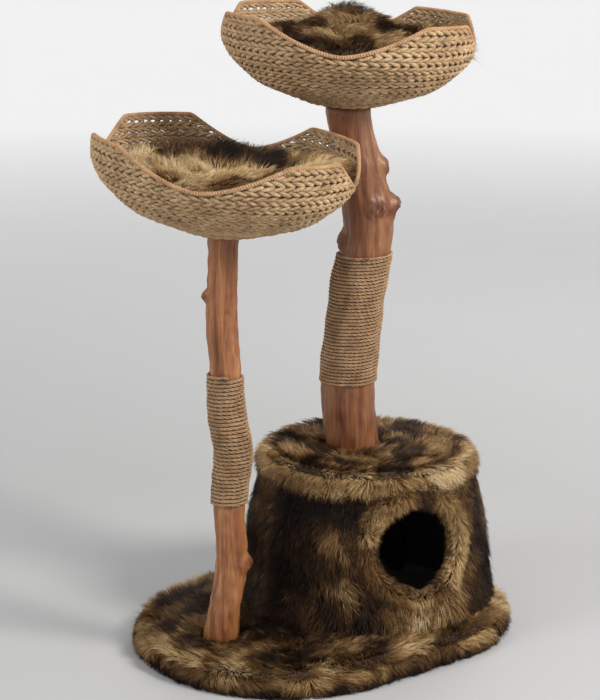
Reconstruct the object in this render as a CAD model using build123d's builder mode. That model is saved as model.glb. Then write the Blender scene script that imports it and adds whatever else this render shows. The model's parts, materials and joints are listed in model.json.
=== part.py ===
from build123d import *
import os
from math import cos, hypot, radians, sin

os.makedirs("parts", exist_ok=True)

# A cat tree: an oval fur-covered base, a round fur-covered hut on it, a slim branch post
# that stands on the base and a thick branch post that stands on the hut. Each post carries
# a woven bowl with a removable fur cushion. +X runs along the base from the slim post to
# the hut, +Z is up, and the origin is on the floor under the middle of the base.

# ---------- base ----------
board_size = (666, 500)
board_corner_post_end = 245
board_corner_hut_end = 220
underlay_t = 2
board_t = 22
base_pile = 20
base_roll = 16
hem_width = 32
board_bottom = underlay_t
board_top = board_bottom + board_t
base_fur_top = board_top + base_pile

# ---------- hut ----------
hut_centre = (112, 3)
wall_foot_r = 220
wall_head_r = 182
wall_t = 8
wall_top = 310
lid_t = 15
lid_top = wall_top + lid_t
hut_pile = 16
lining_t = 2
floor_pad_t = 8
batten = 20
batten_reach = 171
batten_headings = (-153, -53, 27, 127)
entry_heading = -103
entry_z = 203
entry_r = 84
entry_ring = 22
entry_reveal = 4
post_gap = 2

# ---------- posts: x, y, z and radius of each section of the two branches ----------
front_branch = [
    (-232, 2, board_top, 32),
    (-231, 1, 62, 31),
    (-224, -4, 113, 29),
    (-215, -9, 178, 28),
    (-216, -9, 244, 28),
    (-215, -8, 320, 28),
    (-211, -10, 406, 30),
    (-216, -6, 450, 28),
    (-220, -1, 548, 27.5),
    (-223, 2, 648, 27.5),
    (-221, 2, 700, 26.5),
    (-219, 0, 820, 26),
]
back_branch = [
    (109, 39, lid_top, 51),
    (104, 41, 361, 49.5),
    (99, 44, 440, 49),
    (101, 42, 500, 49),
    (107, 35, 588, 48),
    (117, 27, 685, 48),
    (124, 20, 748, 46.5),
    (122, 21, 805, 46.5),
    (112, 28, 868, 45),
    (100, 36, 922, 42),
    (90, 42, 1010, 40),
]
slice_count = 14
# Knots: centre and radius of each bump on a branch.
front_knots = [((-236, 12, 677), 15), ((-201, -21, 184), 14)]
back_knots = [((132, 6, 868), 26), ((150, -4, 800), 20), ((104, -2, 795), 20), ((95, 43, 728), 24)]

# ---------- rope wraps: lowest and highest point and thickness of each ----------
front_wrap = (294, 539, 6.5)
back_wrap = (458, 711, 6)
wrap_clear = 0.2

# ---------- baskets ----------
bowl_corners = [(0, 0), (62, 0), (165, 36), (228, 92), (240, 165)]
bowl_radii = [60, 110, 95]
bowl_h = 165
dip_h = 112
dip_widths = {0: 208, 90: 224, 180: 208, 270: 290}
dip_shoulder = 24
weave_t = 9
binding_t = 12
binding_h = 8
rib_count = 24
rib_w = 2.5
rib_t = 2
rib_start = 56
disc_r = 50
disc_t = 8
lower_basket = {"at": (-223, 4, 792), "lean": 5.6, "leans_to": -53, "turn": 5, "crown": 78, "hollow": 90}
upper_basket = {"at": (89, 44, 983), "lean": 2.8, "leans_to": -38, "turn": -5, "crown": 138, "hollow": 124}
pad_gap = 1.5
pad_floor = 30
pad_edge = 104
pad_hollow_r = 110
pad_rim_r = 185
pad_end_r = 232
pad_end_drop = 26
pad_slit = (120, 6)
cover_t = 9

# ---------- fasteners ----------
lag_r = 5
lag_head = (17, 6.4)
lag_len = 90
lag_tip = 8
washer_r = 15
washer_t = 2
screw_r = 2.25
screw_head_r = 4.5
screw_head_h = 3
screw_len = 50
front_screw_reach = 20
back_screw_reach = 32
basket_screw_reach = 20
hole_clear = 0.3
staple_wire = 1.4
staple_w = 11
staple_leg = 14
staple_heading = -128


def polar(radius, heading):
    """Point at this distance and heading from the hut's axis, on plan."""
    return (
        hut_centre[0] + radius * cos(radians(heading)),
        hut_centre[1] + radius * sin(radians(heading)),
    )


def base_outline(grow):
    """The base's oval, grown by this much all round, in the sketch being built."""
    Rectangle(board_size[0] + 2 * grow, board_size[1] + 2 * grow)
    fillet(vertices().group_by(Axis.X)[-1], board_corner_hut_end + grow)
    fillet(vertices().group_by(Axis.X)[0], board_corner_post_end + grow)


def hut_cone(z_low, z_high, grow, mode=Mode.ADD):
    """Solid cone that follows the hut's wall, grown by this much."""
    slope = (wall_foot_r - wall_head_r) / (wall_top - board_top)
    low_r = wall_foot_r + grow - slope * (z_low - board_top)
    high_r = wall_foot_r + grow - slope * (z_high - board_top)
    with BuildSketch(Plane(origin=(*hut_centre, 0), x_dir=(1, 0, 0), z_dir=(0, -1, 0))) as half:
        Polygon((0, z_low), (low_r, z_low), (high_r, z_high), (0, z_high), align=None)
    revolve(half.sketch, axis=Axis((*hut_centre, 0), (0, 0, 1)), mode=mode)


def even_slices(sections):
    """Evenly spaced slices, as point and radius, along the smooth line through the sections."""
    heart = Spline([section[:3] for section in sections])
    slices = []
    for i in range(slice_count + 1):
        at = heart @ (i / slice_count)
        for (*_, z_low, r_low), (*_, z_high, r_high) in zip(sections, sections[1:]):
            if at.Z <= z_high + 0.01:
                break
        slices.append((at, r_low + (r_high - r_low) * (at.Z - z_low) / (z_high - z_low)))
    return slices


def branch(slices, grow):
    """A branch as a smooth loft through its slices, grown by this much."""
    with BuildPart() as wood:
        for at, radius in slices:
            with BuildSketch(Plane(origin=at)):
                Circle(radius + grow)
        loft()
    return wood.part


def lag_bolt(plane, length, grow, mode):
    """Hexagon-headed lag bolt along the plane's normal, its head's face on the plane."""
    with BuildSketch(plane) as head:
        RegularPolygon(lag_head[0] / 2 + grow, side_count=6)
    extrude(head.sketch, amount=-lag_head[1] - grow, mode=mode)
    with BuildSketch(plane) as shank:
        Circle(lag_r + grow)
    extrude(shank.sketch, amount=length - lag_tip, mode=mode)
    with BuildSketch(plane.offset(length - lag_tip)) as tip_base:
        Circle(lag_r + grow)
    with BuildSketch(plane.offset(length)) as tip_end:
        Circle(1)
    loft([tip_base.sketch, tip_end.sketch], mode=mode)


def wood_screw(plane, length, grow, mode):
    """Countersunk screw along the plane's normal, its head flush with the plane."""
    with BuildSketch(plane) as head:
        Circle(screw_head_r + grow)
    with BuildSketch(plane.offset(screw_head_h)) as shank:
        Circle(screw_r + grow)
    loft([head.sketch, shank.sketch], mode=mode)
    extrude(shank.sketch, amount=length - screw_head_h, mode=mode)


def staple(plane, mode):
    """Wire staple across the top or bottom turn of a rope wrap, legs along the plane's normal."""
    with BuildSketch(plane) as crown:
        Rectangle(staple_wire, staple_w)
    extrude(crown.sketch, amount=staple_wire, mode=mode)
    with BuildSketch(plane.offset(staple_wire)) as legs:
        with GridLocations(0, staple_w - staple_wire, 1, 2):
            Rectangle(staple_wire, staple_wire)
    extrude(legs.sketch, amount=staple_leg, mode=mode)


def basket_plane(basket):
    """Plane of a basket's flat bottom, its normal leaning towards the basket's heading."""
    heading = radians(basket["leans_to"])
    lean = radians(basket["lean"])
    x_dir = (cos(lean) * cos(heading), cos(lean) * sin(heading), -sin(lean))
    z_dir = (sin(lean) * cos(heading), sin(lean) * sin(heading), cos(lean))
    return turned(Plane(origin=basket["at"], x_dir=x_dir, z_dir=z_dir), basket["turn"])


def turned(plane, angle):
    """The plane turned by this angle about its own normal."""
    x_dir = plane.x_dir * cos(radians(angle)) + plane.y_dir * sin(radians(angle))
    return Plane(origin=plane.origin, x_dir=x_dir, z_dir=plane.z_dir)


def upright(plane, heading):
    """Plane that stands on a basket's plane: sketch X points outwards, sketch Y up its axis."""
    side = turned(plane, heading)
    return Plane(origin=plane.origin, x_dir=side.x_dir, z_dir=-side.y_dir)


def inset(corners, depth):
    """The bowl's outline moved inwards by this depth, corner by corner."""
    lines = []
    for (x1, y1), (x2, y2) in zip(corners, corners[1:]):
        run = hypot(x2 - x1, y2 - y1)
        ux, uy = (x2 - x1) / run, (y2 - y1) / run
        lines.append((x1 - uy * depth, y1 + ux * depth, ux, uy, run))
    moved = [(0, depth)]
    for (ax, ay, aux, auy, _), (bx, by, bux, buy, _) in zip(lines, lines[1:]):
        along = ((bx - ax) * buy - (by - ay) * bux) / (aux * buy - auy * bux)
        moved.append((ax + aux * along, ay + auy * along))
    ax, ay, aux, auy, run = lines[-1]
    moved.append((ax + aux * run, ay + auy * run))
    return moved


def bowl_wall(plane, outset, depth):
    """The bowl's wall from its outside, grown by outset, to this depth inside it."""
    with BuildSketch(upright(plane, 0)) as half:
        with BuildLine():
            outer = FilletPolyline(
                *inset(bowl_corners, -outset), radius=[r + outset for r in bowl_radii]
            )
            inner = FilletPolyline(
                *inset(bowl_corners, depth), radius=[r - depth for r in bowl_radii]
            )
            Line(outer @ 0, inner @ 0)
            Line(outer @ 1, inner @ 1)
        make_face()
    revolve(half.sketch, axis=Axis(plane.origin, plane.z_dir))


def cut_rim(plane, drop):
    """Cuts the rim's wave, four dips between four lobes, this far below its full height."""
    reach = bowl_corners[-1][0] + 20
    above = bowl_h + 20
    top = bowl_h - drop
    for heading, width in dip_widths.items():
        with BuildSketch(upright(plane, heading + 90)) as dip:
            with BuildLine():
                wave = Spline(
                    (-width / 2, top),
                    (-0.3 * width, dip_h + dip_shoulder - drop),
                    (0, dip_h - drop),
                    (0.3 * width, dip_h + dip_shoulder - drop),
                    (width / 2, top),
                )
                Polyline(wave @ 1, (0.6 * width, above), (-0.6 * width, above), wave @ 0)
            make_face()
        extrude(dip.sketch, amount=reach, mode=Mode.SUBTRACT)
    with BuildSketch(plane.offset(top)) as lid:
        Circle(reach)
    extrude(lid.sketch, amount=above, mode=Mode.SUBTRACT)


def pad_body(plane, crown, hollow, depth, skin):
    """Solid of revolution that fills the bowl like a cushion, its skin taken off all round."""
    with BuildSketch(upright(plane, 0)) as half:
        with BuildLine():
            wall = FilletPolyline(
                *inset(bowl_corners, depth + skin), radius=[r - depth - skin for r in bowl_radii]
            )
            Polyline(wall @ 1, (0, (wall @ 1).Y), (0, (wall @ 0).Y))
        make_face()
        with BuildLine():
            top = Spline(
                (0, crown - skin),
                (pad_hollow_r, hollow - skin),
                (pad_rim_r, pad_edge - skin),
                (pad_end_r, pad_edge - pad_end_drop - skin),
                tangents=[(1, 0), (0.6, -1)],
            )
            Polyline(top @ 1, (pad_end_r, 2 * bowl_h), (0, 2 * bowl_h), top @ 0)
        make_face(mode=Mode.SUBTRACT)
        with Locations((0, (pad_floor + skin) / 2)):
            Rectangle(2 * pad_end_r, pad_floor + skin, mode=Mode.SUBTRACT)
    revolve(half.sketch, axis=Axis(plane.origin, plane.z_dir))


pieces = {}

# ---------- fasteners that hold the posts, the hut and the rope ----------
front_foot = front_branch[0]
back_foot = back_branch[0]
front_lag_plane = Plane(origin=(front_foot[0], front_foot[1], board_bottom + lag_head[1] + washer_t))
back_lag_plane = Plane(origin=(back_foot[0], back_foot[1], wall_top - washer_t))
front_screw_planes = [
    Plane(origin=(front_foot[0] + side * front_screw_reach, front_foot[1], board_bottom))
    for side in (-1, 1)
]
back_screw_planes = [
    Plane(origin=(back_foot[0] + side * back_screw_reach, back_foot[1], wall_top))
    for side in (-1, 1)
]
hut_screw_planes = []
for heading in batten_headings:
    x, y = polar(batten_reach - batten / 2, heading)
    hut_screw_planes.append(Plane(origin=(x, y, board_bottom)))
    hut_screw_planes.append(Plane(origin=(x, y, lid_top), z_dir=(0, 0, -1)))

for name, plane in (("front_post_bolt", front_lag_plane), ("back_post_bolt", back_lag_plane)):
    with BuildPart() as pieces[name]:
        lag_bolt(plane, lag_len, 0, Mode.ADD)

for name, plane in (("front_post_washer", front_lag_plane), ("back_post_washer", back_lag_plane)):
    with BuildPart() as pieces[name]:
        with BuildSketch(plane):
            Circle(washer_r)
            Circle(lag_r + hole_clear, mode=Mode.SUBTRACT)
        extrude(amount=washer_t)

for name, planes in (
    ("front_post_screws", front_screw_planes),
    ("back_post_screws", back_screw_planes),
    ("house_screws", hut_screw_planes),
):
    with BuildPart() as pieces[name]:
        for plane in planes:
            wood_screw(plane, screw_len, 0, Mode.ADD)

# ---------- base ----------
with BuildPart() as pieces["base_board"]:
    with BuildSketch(Plane.XY.offset(board_bottom)):
        base_outline(0)
    extrude(amount=board_t)
    with BuildSketch(Plane.XY.offset(board_bottom)):
        with Locations(front_foot[:2]):
            Circle(washer_r + 2)
    extrude(amount=lag_head[1] + 2 * washer_t, mode=Mode.SUBTRACT)
    with BuildSketch(Plane.XY.offset(board_bottom)):
        with Locations(front_foot[:2]):
            Circle(lag_r + hole_clear)
    extrude(amount=board_t, mode=Mode.SUBTRACT)
    for plane in front_screw_planes + hut_screw_planes[::2]:
        wood_screw(plane, screw_len, hole_clear, Mode.SUBTRACT)

with BuildPart() as pieces["base_underlay"]:
    with BuildSketch():
        base_outline(-hem_width)
    extrude(amount=underlay_t)

with BuildPart() as pieces["base_fur_cover"]:
    with BuildSketch():
        base_outline(base_pile)
    extrude(amount=base_fur_top)
    fillet(edges().group_by(Axis.Z)[-1], base_roll)
    with BuildSketch(Plane.XY.offset(board_bottom)):
        base_outline(0)
    extrude(amount=board_t, mode=Mode.SUBTRACT)
    with BuildSketch():
        base_outline(-hem_width)
    extrude(amount=underlay_t, mode=Mode.SUBTRACT)
    with BuildSketch(Plane.XY.offset(board_top)):
        with Locations(hut_centre):
            Circle(wall_foot_r + hut_pile)
        with Locations(front_foot[:2]):
            Circle(front_foot[3] + post_gap)
    extrude(amount=2 * base_pile, mode=Mode.SUBTRACT)

# ---------- hut ----------
entry_way = Plane(
    origin=(*hut_centre, entry_z),
    x_dir=(0, 0, 1),
    z_dir=(cos(radians(entry_heading)), sin(radians(entry_heading)), 0),
)


def entry_cut(radius, mode):
    """Round way in through the hut's wall, along the entry's heading."""
    with BuildSketch(entry_way) as opening:
        Circle(radius)
    extrude(opening.sketch, amount=2 * wall_foot_r, mode=mode)


with BuildPart() as pieces["house_wall"]:
    hut_cone(board_top, wall_top, 0)
    hut_cone(board_top, wall_top, -wall_t, Mode.SUBTRACT)
    entry_cut(entry_r + entry_reveal, Mode.SUBTRACT)

with BuildPart() as pieces["house_battens"]:
    for heading in batten_headings:
        with BuildSketch(turned(Plane(origin=(*hut_centre, board_top)), heading)):
            with Locations((batten_reach - batten / 2, 0)):
                Rectangle(batten, batten)
        extrude(amount=wall_top - board_top)
    for plane in hut_screw_planes:
        wood_screw(plane, screw_len, hole_clear, Mode.SUBTRACT)

with BuildPart() as pieces["house_top_board"]:
    with BuildSketch(Plane.XY.offset(wall_top)):
        with Locations(hut_centre):
            Circle(wall_head_r)
        with Locations(back_foot[:2]):
            Circle(lag_r + hole_clear, mode=Mode.SUBTRACT)
    extrude(amount=lid_t)
    for plane in back_screw_planes + hut_screw_planes[1::2]:
        wood_screw(plane, screw_len, hole_clear, Mode.SUBTRACT)

with BuildPart() as pieces["house_lining"]:
    hut_cone(board_top, wall_top, -wall_t)
    hut_cone(board_top, wall_top, -wall_t - lining_t, Mode.SUBTRACT)
    add(pieces["house_battens"].part, mode=Mode.SUBTRACT)
    entry_cut(entry_r + entry_reveal, Mode.SUBTRACT)

with BuildPart() as pieces["house_floor_pad"]:
    with BuildSketch(Plane.XY.offset(board_top)):
        with Locations(hut_centre):
            Circle(batten_reach - batten - 3)
    extrude(amount=floor_pad_t)
    fillet(edges().group_by(Axis.Z)[-1], 3)

with BuildPart() as pieces["house_wall_fur"]:
    hut_cone(board_top, lid_top, hut_pile)
    hut_cone(board_top, wall_top, 0, Mode.SUBTRACT)
    with BuildSketch(Plane.XY.offset(wall_top)):
        with Locations(hut_centre):
            Circle(wall_head_r)
    extrude(amount=lid_t, mode=Mode.SUBTRACT)
    entry_cut(entry_r + entry_ring, Mode.SUBTRACT)

with BuildPart() as pieces["house_top_fur"]:
    with BuildSketch(Plane.XY.offset(lid_top)):
        with Locations(hut_centre):
            Circle(wall_head_r + hut_pile - 2)
    extrude(amount=hut_pile)
    fillet(edges().group_by(Axis.Z)[-1], hut_pile - 3)
    with BuildSketch(Plane.XY.offset(lid_top)):
        with Locations(back_foot[:2]):
            Circle(back_foot[3] + post_gap)
    extrude(amount=hut_pile, mode=Mode.SUBTRACT)

with BuildPart() as pieces["entry_hole_trim"]:
    hut_cone(board_top, wall_top, hut_pile + 6)
    hut_cone(board_top, wall_top, 0, Mode.SUBTRACT)
    entry_cut(entry_r + entry_ring, Mode.INTERSECT)
    entry_cut(entry_r, Mode.SUBTRACT)

# ---------- branch posts, cut off square to the bowls that they carry ----------
lower_plane = basket_plane(lower_basket)
upper_plane = basket_plane(upper_basket)
basket_lags = {}
basket_screws = {}
for name, plane in (("lower", lower_plane), ("upper", upper_plane)):
    seat = plane.offset(weave_t + disc_t + washer_t)
    basket_lags[name] = Plane(origin=seat.origin, x_dir=seat.x_dir, z_dir=-seat.z_dir)
    top = plane.offset(weave_t + disc_t)
    basket_screws[name] = [
        Plane(
            origin=top.origin + side * basket_screw_reach * plane.y_dir,
            x_dir=plane.x_dir,
            z_dir=-plane.z_dir,
        )
        for side in (-1, 1)
    ]

front_slices = even_slices(front_branch)
back_slices = even_slices(back_branch)
wraps = {"front": (front_slices, front_wrap), "back": (back_slices, back_wrap)}
staple_planes = {}
staple_out = Vector(cos(radians(staple_heading)), sin(radians(staple_heading)), 0)
for name, (slices, (low, high, rope_d)) in wraps.items():
    staple_planes[name] = []
    for z in (low + 6, high - 6):
        at, radius = min(slices, key=lambda one: abs(one[0].Z - z))
        foot = Vector(at.X, at.Y, z) + staple_out * (radius + rope_d + 3)
        staple_planes[name].append(Plane(origin=foot, x_dir=(0, 0, 1), z_dir=-staple_out))

for name in wraps:
    with BuildPart() as pieces[f"{name}_rope_staples"]:
        for plane in staple_planes[name]:
            staple(plane, Mode.ADD)

posts = {
    "front": (front_slices, front_knots, lower_plane, front_lag_plane, "lower", front_screw_planes),
    "back": (back_slices, back_knots, upper_plane, back_lag_plane, "upper", back_screw_planes),
}
for name, (slices, knots, seat, lag_plane, bowl, screw_planes) in posts.items():
    with BuildPart() as pieces[f"{name}_post"]:
        add(branch(slices, 0))
        for centre, radius in knots:
            with Locations(centre):
                Sphere(radius)
        split(bisect_by=seat, keep=Keep.BOTTOM)
        lag_bolt(lag_plane, lag_len, 0.05, Mode.SUBTRACT)
        lag_bolt(basket_lags[bowl], lag_len, 0.05, Mode.SUBTRACT)
        for plane in screw_planes + basket_screws[bowl]:
            wood_screw(plane, screw_len, 0.05, Mode.SUBTRACT)
        add(pieces[f"{name}_rope_staples"].part, mode=Mode.SUBTRACT)

for name, (slices, (low, high, rope_d)) in wraps.items():
    with BuildPart() as pieces[f"{name}_post_rope"]:
        add(branch(slices, rope_d))
        add(branch(slices, wrap_clear), mode=Mode.SUBTRACT)
        split(bisect_by=Plane.XY.offset(low), keep=Keep.TOP)
        split(bisect_by=Plane.XY.offset(high), keep=Keep.BOTTOM)
        add(pieces[f"{name}_post"].part, mode=Mode.SUBTRACT)
        add(pieces[f"{name}_rope_staples"].part, mode=Mode.SUBTRACT)

# ---------- baskets and their cushions ----------
baskets = {"lower": (lower_basket, lower_plane), "upper": (upper_basket, upper_plane)}
for name, (basket, plane) in baskets.items():
    with BuildPart() as pieces[f"{name}_basket_ribs"]:
        for i in range(rib_count):
            rib_side = upright(plane, 360 / rib_count * (i + 0.5))
            with BuildSketch(rib_side):
                with BuildLine():
                    outer = FilletPolyline(
                        *inset(bowl_corners, (weave_t - rib_t) / 2),
                        radius=[r - (weave_t - rib_t) / 2 for r in bowl_radii],
                    )
                    inner = FilletPolyline(
                        *inset(bowl_corners, (weave_t + rib_t) / 2),
                        radius=[r - (weave_t + rib_t) / 2 for r in bowl_radii],
                    )
                    Line(outer @ 0, inner @ 0)
                    Line(outer @ 1, inner @ 1)
                make_face()
                Rectangle(2 * rib_start, disc_r, mode=Mode.SUBTRACT)
            extrude(amount=rib_w / 2, both=True)
        cut_rim(plane, binding_h)

    with BuildPart() as pieces[f"{name}_basket_weave"]:
        bowl_wall(plane, 0, weave_t)
        cut_rim(plane, binding_h)
        add(pieces[f"{name}_basket_ribs"].part, mode=Mode.SUBTRACT)
        with BuildSketch(plane):
            Circle(lag_r + hole_clear)
        extrude(amount=weave_t, mode=Mode.SUBTRACT)
        for screw_plane in basket_screws[name]:
            wood_screw(screw_plane, screw_len, hole_clear, Mode.SUBTRACT)

    with BuildPart() as below_binding:
        bowl_wall(plane, binding_t, 2 * binding_t)
        cut_rim(plane, binding_h)

    with BuildPart() as pieces[f"{name}_basket_binding"]:
        bowl_wall(plane, (binding_t - weave_t) / 2, (binding_t + weave_t) / 2)
        cut_rim(plane, 0)
        add(below_binding.part, mode=Mode.SUBTRACT)

    with BuildPart() as pieces[f"{name}_basket_disc"]:
        with BuildSketch(plane.offset(weave_t)):
            Circle(disc_r)
            Circle(lag_r + hole_clear, mode=Mode.SUBTRACT)
        extrude(amount=disc_t)
        for screw_plane in basket_screws[name]:
            wood_screw(screw_plane, screw_len, hole_clear, Mode.SUBTRACT)

    with BuildPart() as pieces[f"{name}_basket_bolt"]:
        lag_bolt(basket_lags[name], lag_len, 0, Mode.ADD)

    with BuildPart() as pieces[f"{name}_basket_washer"]:
        with BuildSketch(plane.offset(weave_t + disc_t)):
            Circle(washer_r)
            Circle(lag_r + hole_clear, mode=Mode.SUBTRACT)
        extrude(amount=washer_t)

    with BuildPart() as pieces[f"{name}_basket_screws"]:
        for screw_plane in basket_screws[name]:
            wood_screw(screw_plane, screw_len, 0, Mode.ADD)

    with BuildPart() as pieces[f"{name}_cushion_filling"]:
        pad_body(plane, basket["crown"], basket["hollow"], weave_t + pad_gap, cover_t)

    with BuildPart() as pieces[f"{name}_cushion_cover"]:
        pad_body(plane, basket["crown"], basket["hollow"], weave_t + pad_gap, 0)
        add(pieces[f"{name}_cushion_filling"].part, mode=Mode.SUBTRACT)
        with BuildSketch(plane.offset(pad_floor)):
            Rectangle(*pad_slit)
        extrude(amount=cover_t, mode=Mode.SUBTRACT)

for name, piece in pieces.items():
    piece.part.label = name
    export_step(piece.part, f"parts/{name}.step")
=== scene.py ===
import json
from math import atan2, ceil, cos, pi, radians, sin, tan

import bpy
import numpy as np
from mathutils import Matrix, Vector
from mathutils.bvhtree import BVHTree
from mathutils.kdtree import KDTree


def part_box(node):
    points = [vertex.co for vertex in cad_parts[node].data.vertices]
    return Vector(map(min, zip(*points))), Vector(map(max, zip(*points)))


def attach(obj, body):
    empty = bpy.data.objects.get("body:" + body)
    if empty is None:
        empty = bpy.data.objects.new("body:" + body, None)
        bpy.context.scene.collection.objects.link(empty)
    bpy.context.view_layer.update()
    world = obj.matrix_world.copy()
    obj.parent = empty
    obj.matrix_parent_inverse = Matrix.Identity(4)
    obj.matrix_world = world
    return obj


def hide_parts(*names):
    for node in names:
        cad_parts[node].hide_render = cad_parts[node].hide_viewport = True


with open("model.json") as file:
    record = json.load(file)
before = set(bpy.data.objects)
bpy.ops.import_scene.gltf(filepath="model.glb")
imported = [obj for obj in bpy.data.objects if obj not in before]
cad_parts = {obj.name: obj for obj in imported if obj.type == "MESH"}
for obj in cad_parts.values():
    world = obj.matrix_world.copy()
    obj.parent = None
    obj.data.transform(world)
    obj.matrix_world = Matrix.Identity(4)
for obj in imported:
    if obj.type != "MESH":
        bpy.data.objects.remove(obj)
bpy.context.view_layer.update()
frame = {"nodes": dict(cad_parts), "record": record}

scene = bpy.context.scene
MM = 0.001

# ---------- places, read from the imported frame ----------
JOINTS = {joint["name"]: joint for joint in frame["record"]["behaviour"]["joints"]}
RIGHT_HEADING = radians(-38)  # the way both bowls lean, which is the camera's right
WEAVE_T = 9 * MM
BOWL_CORNERS = [(0, 0), (62, 0), (165, 36), (228, 92), (240, 165)]  # in mm, as in the CAD
BOWL_RADII = [60, 110, 95]
BOWL_H = 165 * MM
DIP_H = 112 * MM
FRONT_DIP = 145 * MM  # half widths of the dips in the rim
BACK_DIP = 112 * MM
SIDE_DIP = 104 * MM
DIP_POWER = 1.55


def middle(node):
    low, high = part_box(node)
    return (low + high) / 2


def bowl_frame(name, turn):
    """Origin and axes of a bowl: z along its cushion's slide, x towards the side it leans to."""
    z = Vector(JOINTS[f"{name}_cushion_lift"]["axis"]).normalized()
    right = Vector((cos(RIGHT_HEADING), sin(RIGHT_HEADING), 0))
    x = (right - right.dot(z) * z).normalized()
    y = z.cross(x)
    x, y = x * cos(turn) + y * sin(turn), y * cos(turn) - x * sin(turn)
    origin = middle(f"{name}_basket_disc") - z * (WEAVE_T + 4 * MM)
    return origin, x, y, z


BOWLS = {
    "lower": bowl_frame("lower", radians(-10)),
    "upper": bowl_frame("upper", radians(-5)),
}

# ---------- small numeric helpers ----------


def ripple(points, size, seed, octaves=3):
    """Smooth noise from about -1 to 1 at an array of points, made of sines of this size."""
    rng = np.random.default_rng(seed)
    total = np.zeros(len(points))
    for octave in range(octaves):
        for _ in range(5):
            way = rng.normal(size=3)
            way *= 2 * pi / (size / 1.9**octave) / np.linalg.norm(way)
            total += np.sin(points @ way + rng.uniform(0, 2 * pi)) / 1.6**octave
    return total / 3.2


def unit(rows):
    return rows / np.maximum(np.linalg.norm(rows, axis=1, keepdims=True), 1e-9)


def srgb(red, green, blue):
    """Linear colour from 0-255 sRGB values."""
    linear = []
    for value in (red, green, blue):
        v = value / 255
        linear.append(v / 12.92 if v <= 0.04045 else ((v + 0.055) / 1.055) ** 2.4)
    return (*linear, 1)


def build_mesh(name, verts, faces_by_size, slots=(), material_index=None, smooth=True):
    """A mesh object from a vertex array and a list of face arrays, one array per face size."""
    mesh = bpy.data.meshes.new(name)
    verts = np.asarray(verts, np.float32)
    faces_by_size = [np.asarray(f, np.int32) for f in faces_by_size if len(f)]
    sizes = np.concatenate([np.full(len(f), f.shape[1], np.int32) for f in faces_by_size])
    corners = np.concatenate([f.ravel() for f in faces_by_size])
    mesh.vertices.add(len(verts))
    mesh.vertices.foreach_set("co", verts.ravel())
    mesh.loops.add(len(corners))
    mesh.loops.foreach_set("vertex_index", corners)
    mesh.polygons.add(len(sizes))
    starts = np.concatenate([[0], np.cumsum(sizes)[:-1]]).astype(np.int32)
    mesh.polygons.foreach_set("loop_start", starts)
    mesh.polygons.foreach_set("loop_total", sizes)
    mesh.polygons.foreach_set("use_smooth", np.full(len(sizes), smooth))
    for material in slots:
        mesh.materials.append(material)
    if material_index is not None:
        mesh.polygons.foreach_set("material_index", np.asarray(material_index, np.int32))
    mesh.update(calc_edges=True)
    obj = bpy.data.objects.new(name, mesh)
    scene.collection.objects.link(obj)
    return obj


def ring_quads(rings, sides, closed=False):
    """Faces between rings of points; closed joins the last ring to the first."""
    i, k = np.arange(rings if closed else rings - 1)[:, None], np.arange(sides)[None, :]
    j, k2 = (i + 1) % rings, (k + 1) % sides
    return np.stack([i * sides + k, i * sides + k2, j * sides + k2, j * sides + k], axis=-1).reshape(-1, 4)


def end_caps(rings, sides):
    cap = np.arange(sides)
    return np.array([cap[::-1], (rings - 1) * sides + cap])


TURN_OVER = [0, 3, 2, 1]  # the corners of a face in the other order, from the same first corner


def around_circle(count):
    return np.arange(count) * 2 * pi / count


def plan_way(angles):
    """Level unit vectors at these angles, as x and y."""
    return np.column_stack([np.cos(angles), np.sin(angles)])


def at_height(flat, z=0.0):
    """Plan points or directions with this z, which is one number or an array."""
    return np.column_stack([flat, np.full(len(flat), z)])


def sideways(out):
    """Level vectors a quarter turn on from these."""
    return np.column_stack([-out[:, 1], out[:, 0], np.zeros(len(out))])


def bell(values, middle_value, width):
    return np.exp(-(((values - middle_value) / width) ** 2))


def hull_of(obj):
    mesh = obj.data
    verts = [v.co.copy() for v in mesh.vertices]
    return BVHTree.FromPolygons(verts, [tuple(p.vertices) for p in mesh.polygons])


def join_tubes(tubes):
    """One vertex array and one list of face arrays from several (verts, [face arrays])."""
    verts, by_size, base = [], {}, 0
    for tube_verts, face_arrays in tubes:
        verts.append(tube_verts)
        for faces in face_arrays:
            by_size.setdefault(faces.shape[1], []).append(faces + base)
        base += len(tube_verts)
    return np.concatenate(verts), [np.concatenate(parts) for parts in by_size.values()]


def tube(points, outward, wide, tall, sides, closed):
    """Tube along points; wide is its radius along outward, tall its radius across that."""
    n = len(points)
    if closed:
        tangent = np.roll(points, -1, 0) - np.roll(points, 1, 0)
    else:
        tangent = np.gradient(points, axis=0)
    tangent = unit(tangent)
    out = unit(outward - tangent * np.sum(outward * tangent, axis=1, keepdims=True))
    side = np.cross(tangent, out)
    wide = np.broadcast_to(wide, n)[:, None]
    tall = np.broadcast_to(tall, n)[:, None]
    rings = []
    for k in range(sides):
        a = 2 * pi * k / sides
        rings.append(points + out * wide * cos(a) + side * tall * sin(a))
    verts = np.stack(rings, axis=1).reshape(-1, 3)
    faces = [ring_quads(n, sides, closed)]
    if not closed:
        faces.append(end_caps(n, sides))
    return verts, faces


def settle(obj, body, slot, *nodes):
    """The piece rides on a body and stands for these CAD nodes, which are hidden; slot is not used."""
    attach(obj, body)
    if nodes:
        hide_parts(*nodes)
    return obj


# ---------- camera, stage and light ----------
CAMERA_AT = (-2.3356, -2.9251, 1.512)
CAMERA_PITCH = radians(14.5)
CAMERA_LENS = 108.7

camera_data = bpy.data.cameras.new("camera")
camera_data.lens = CAMERA_LENS
camera_data.sensor_width = 36
camera_data.clip_end = 60
camera = bpy.data.objects.new("camera", camera_data)
camera.location = CAMERA_AT
camera.rotation_euler = (pi / 2 - CAMERA_PITCH, 0, RIGHT_HEADING)
scene.collection.objects.link(camera)
scene.camera = camera

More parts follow.
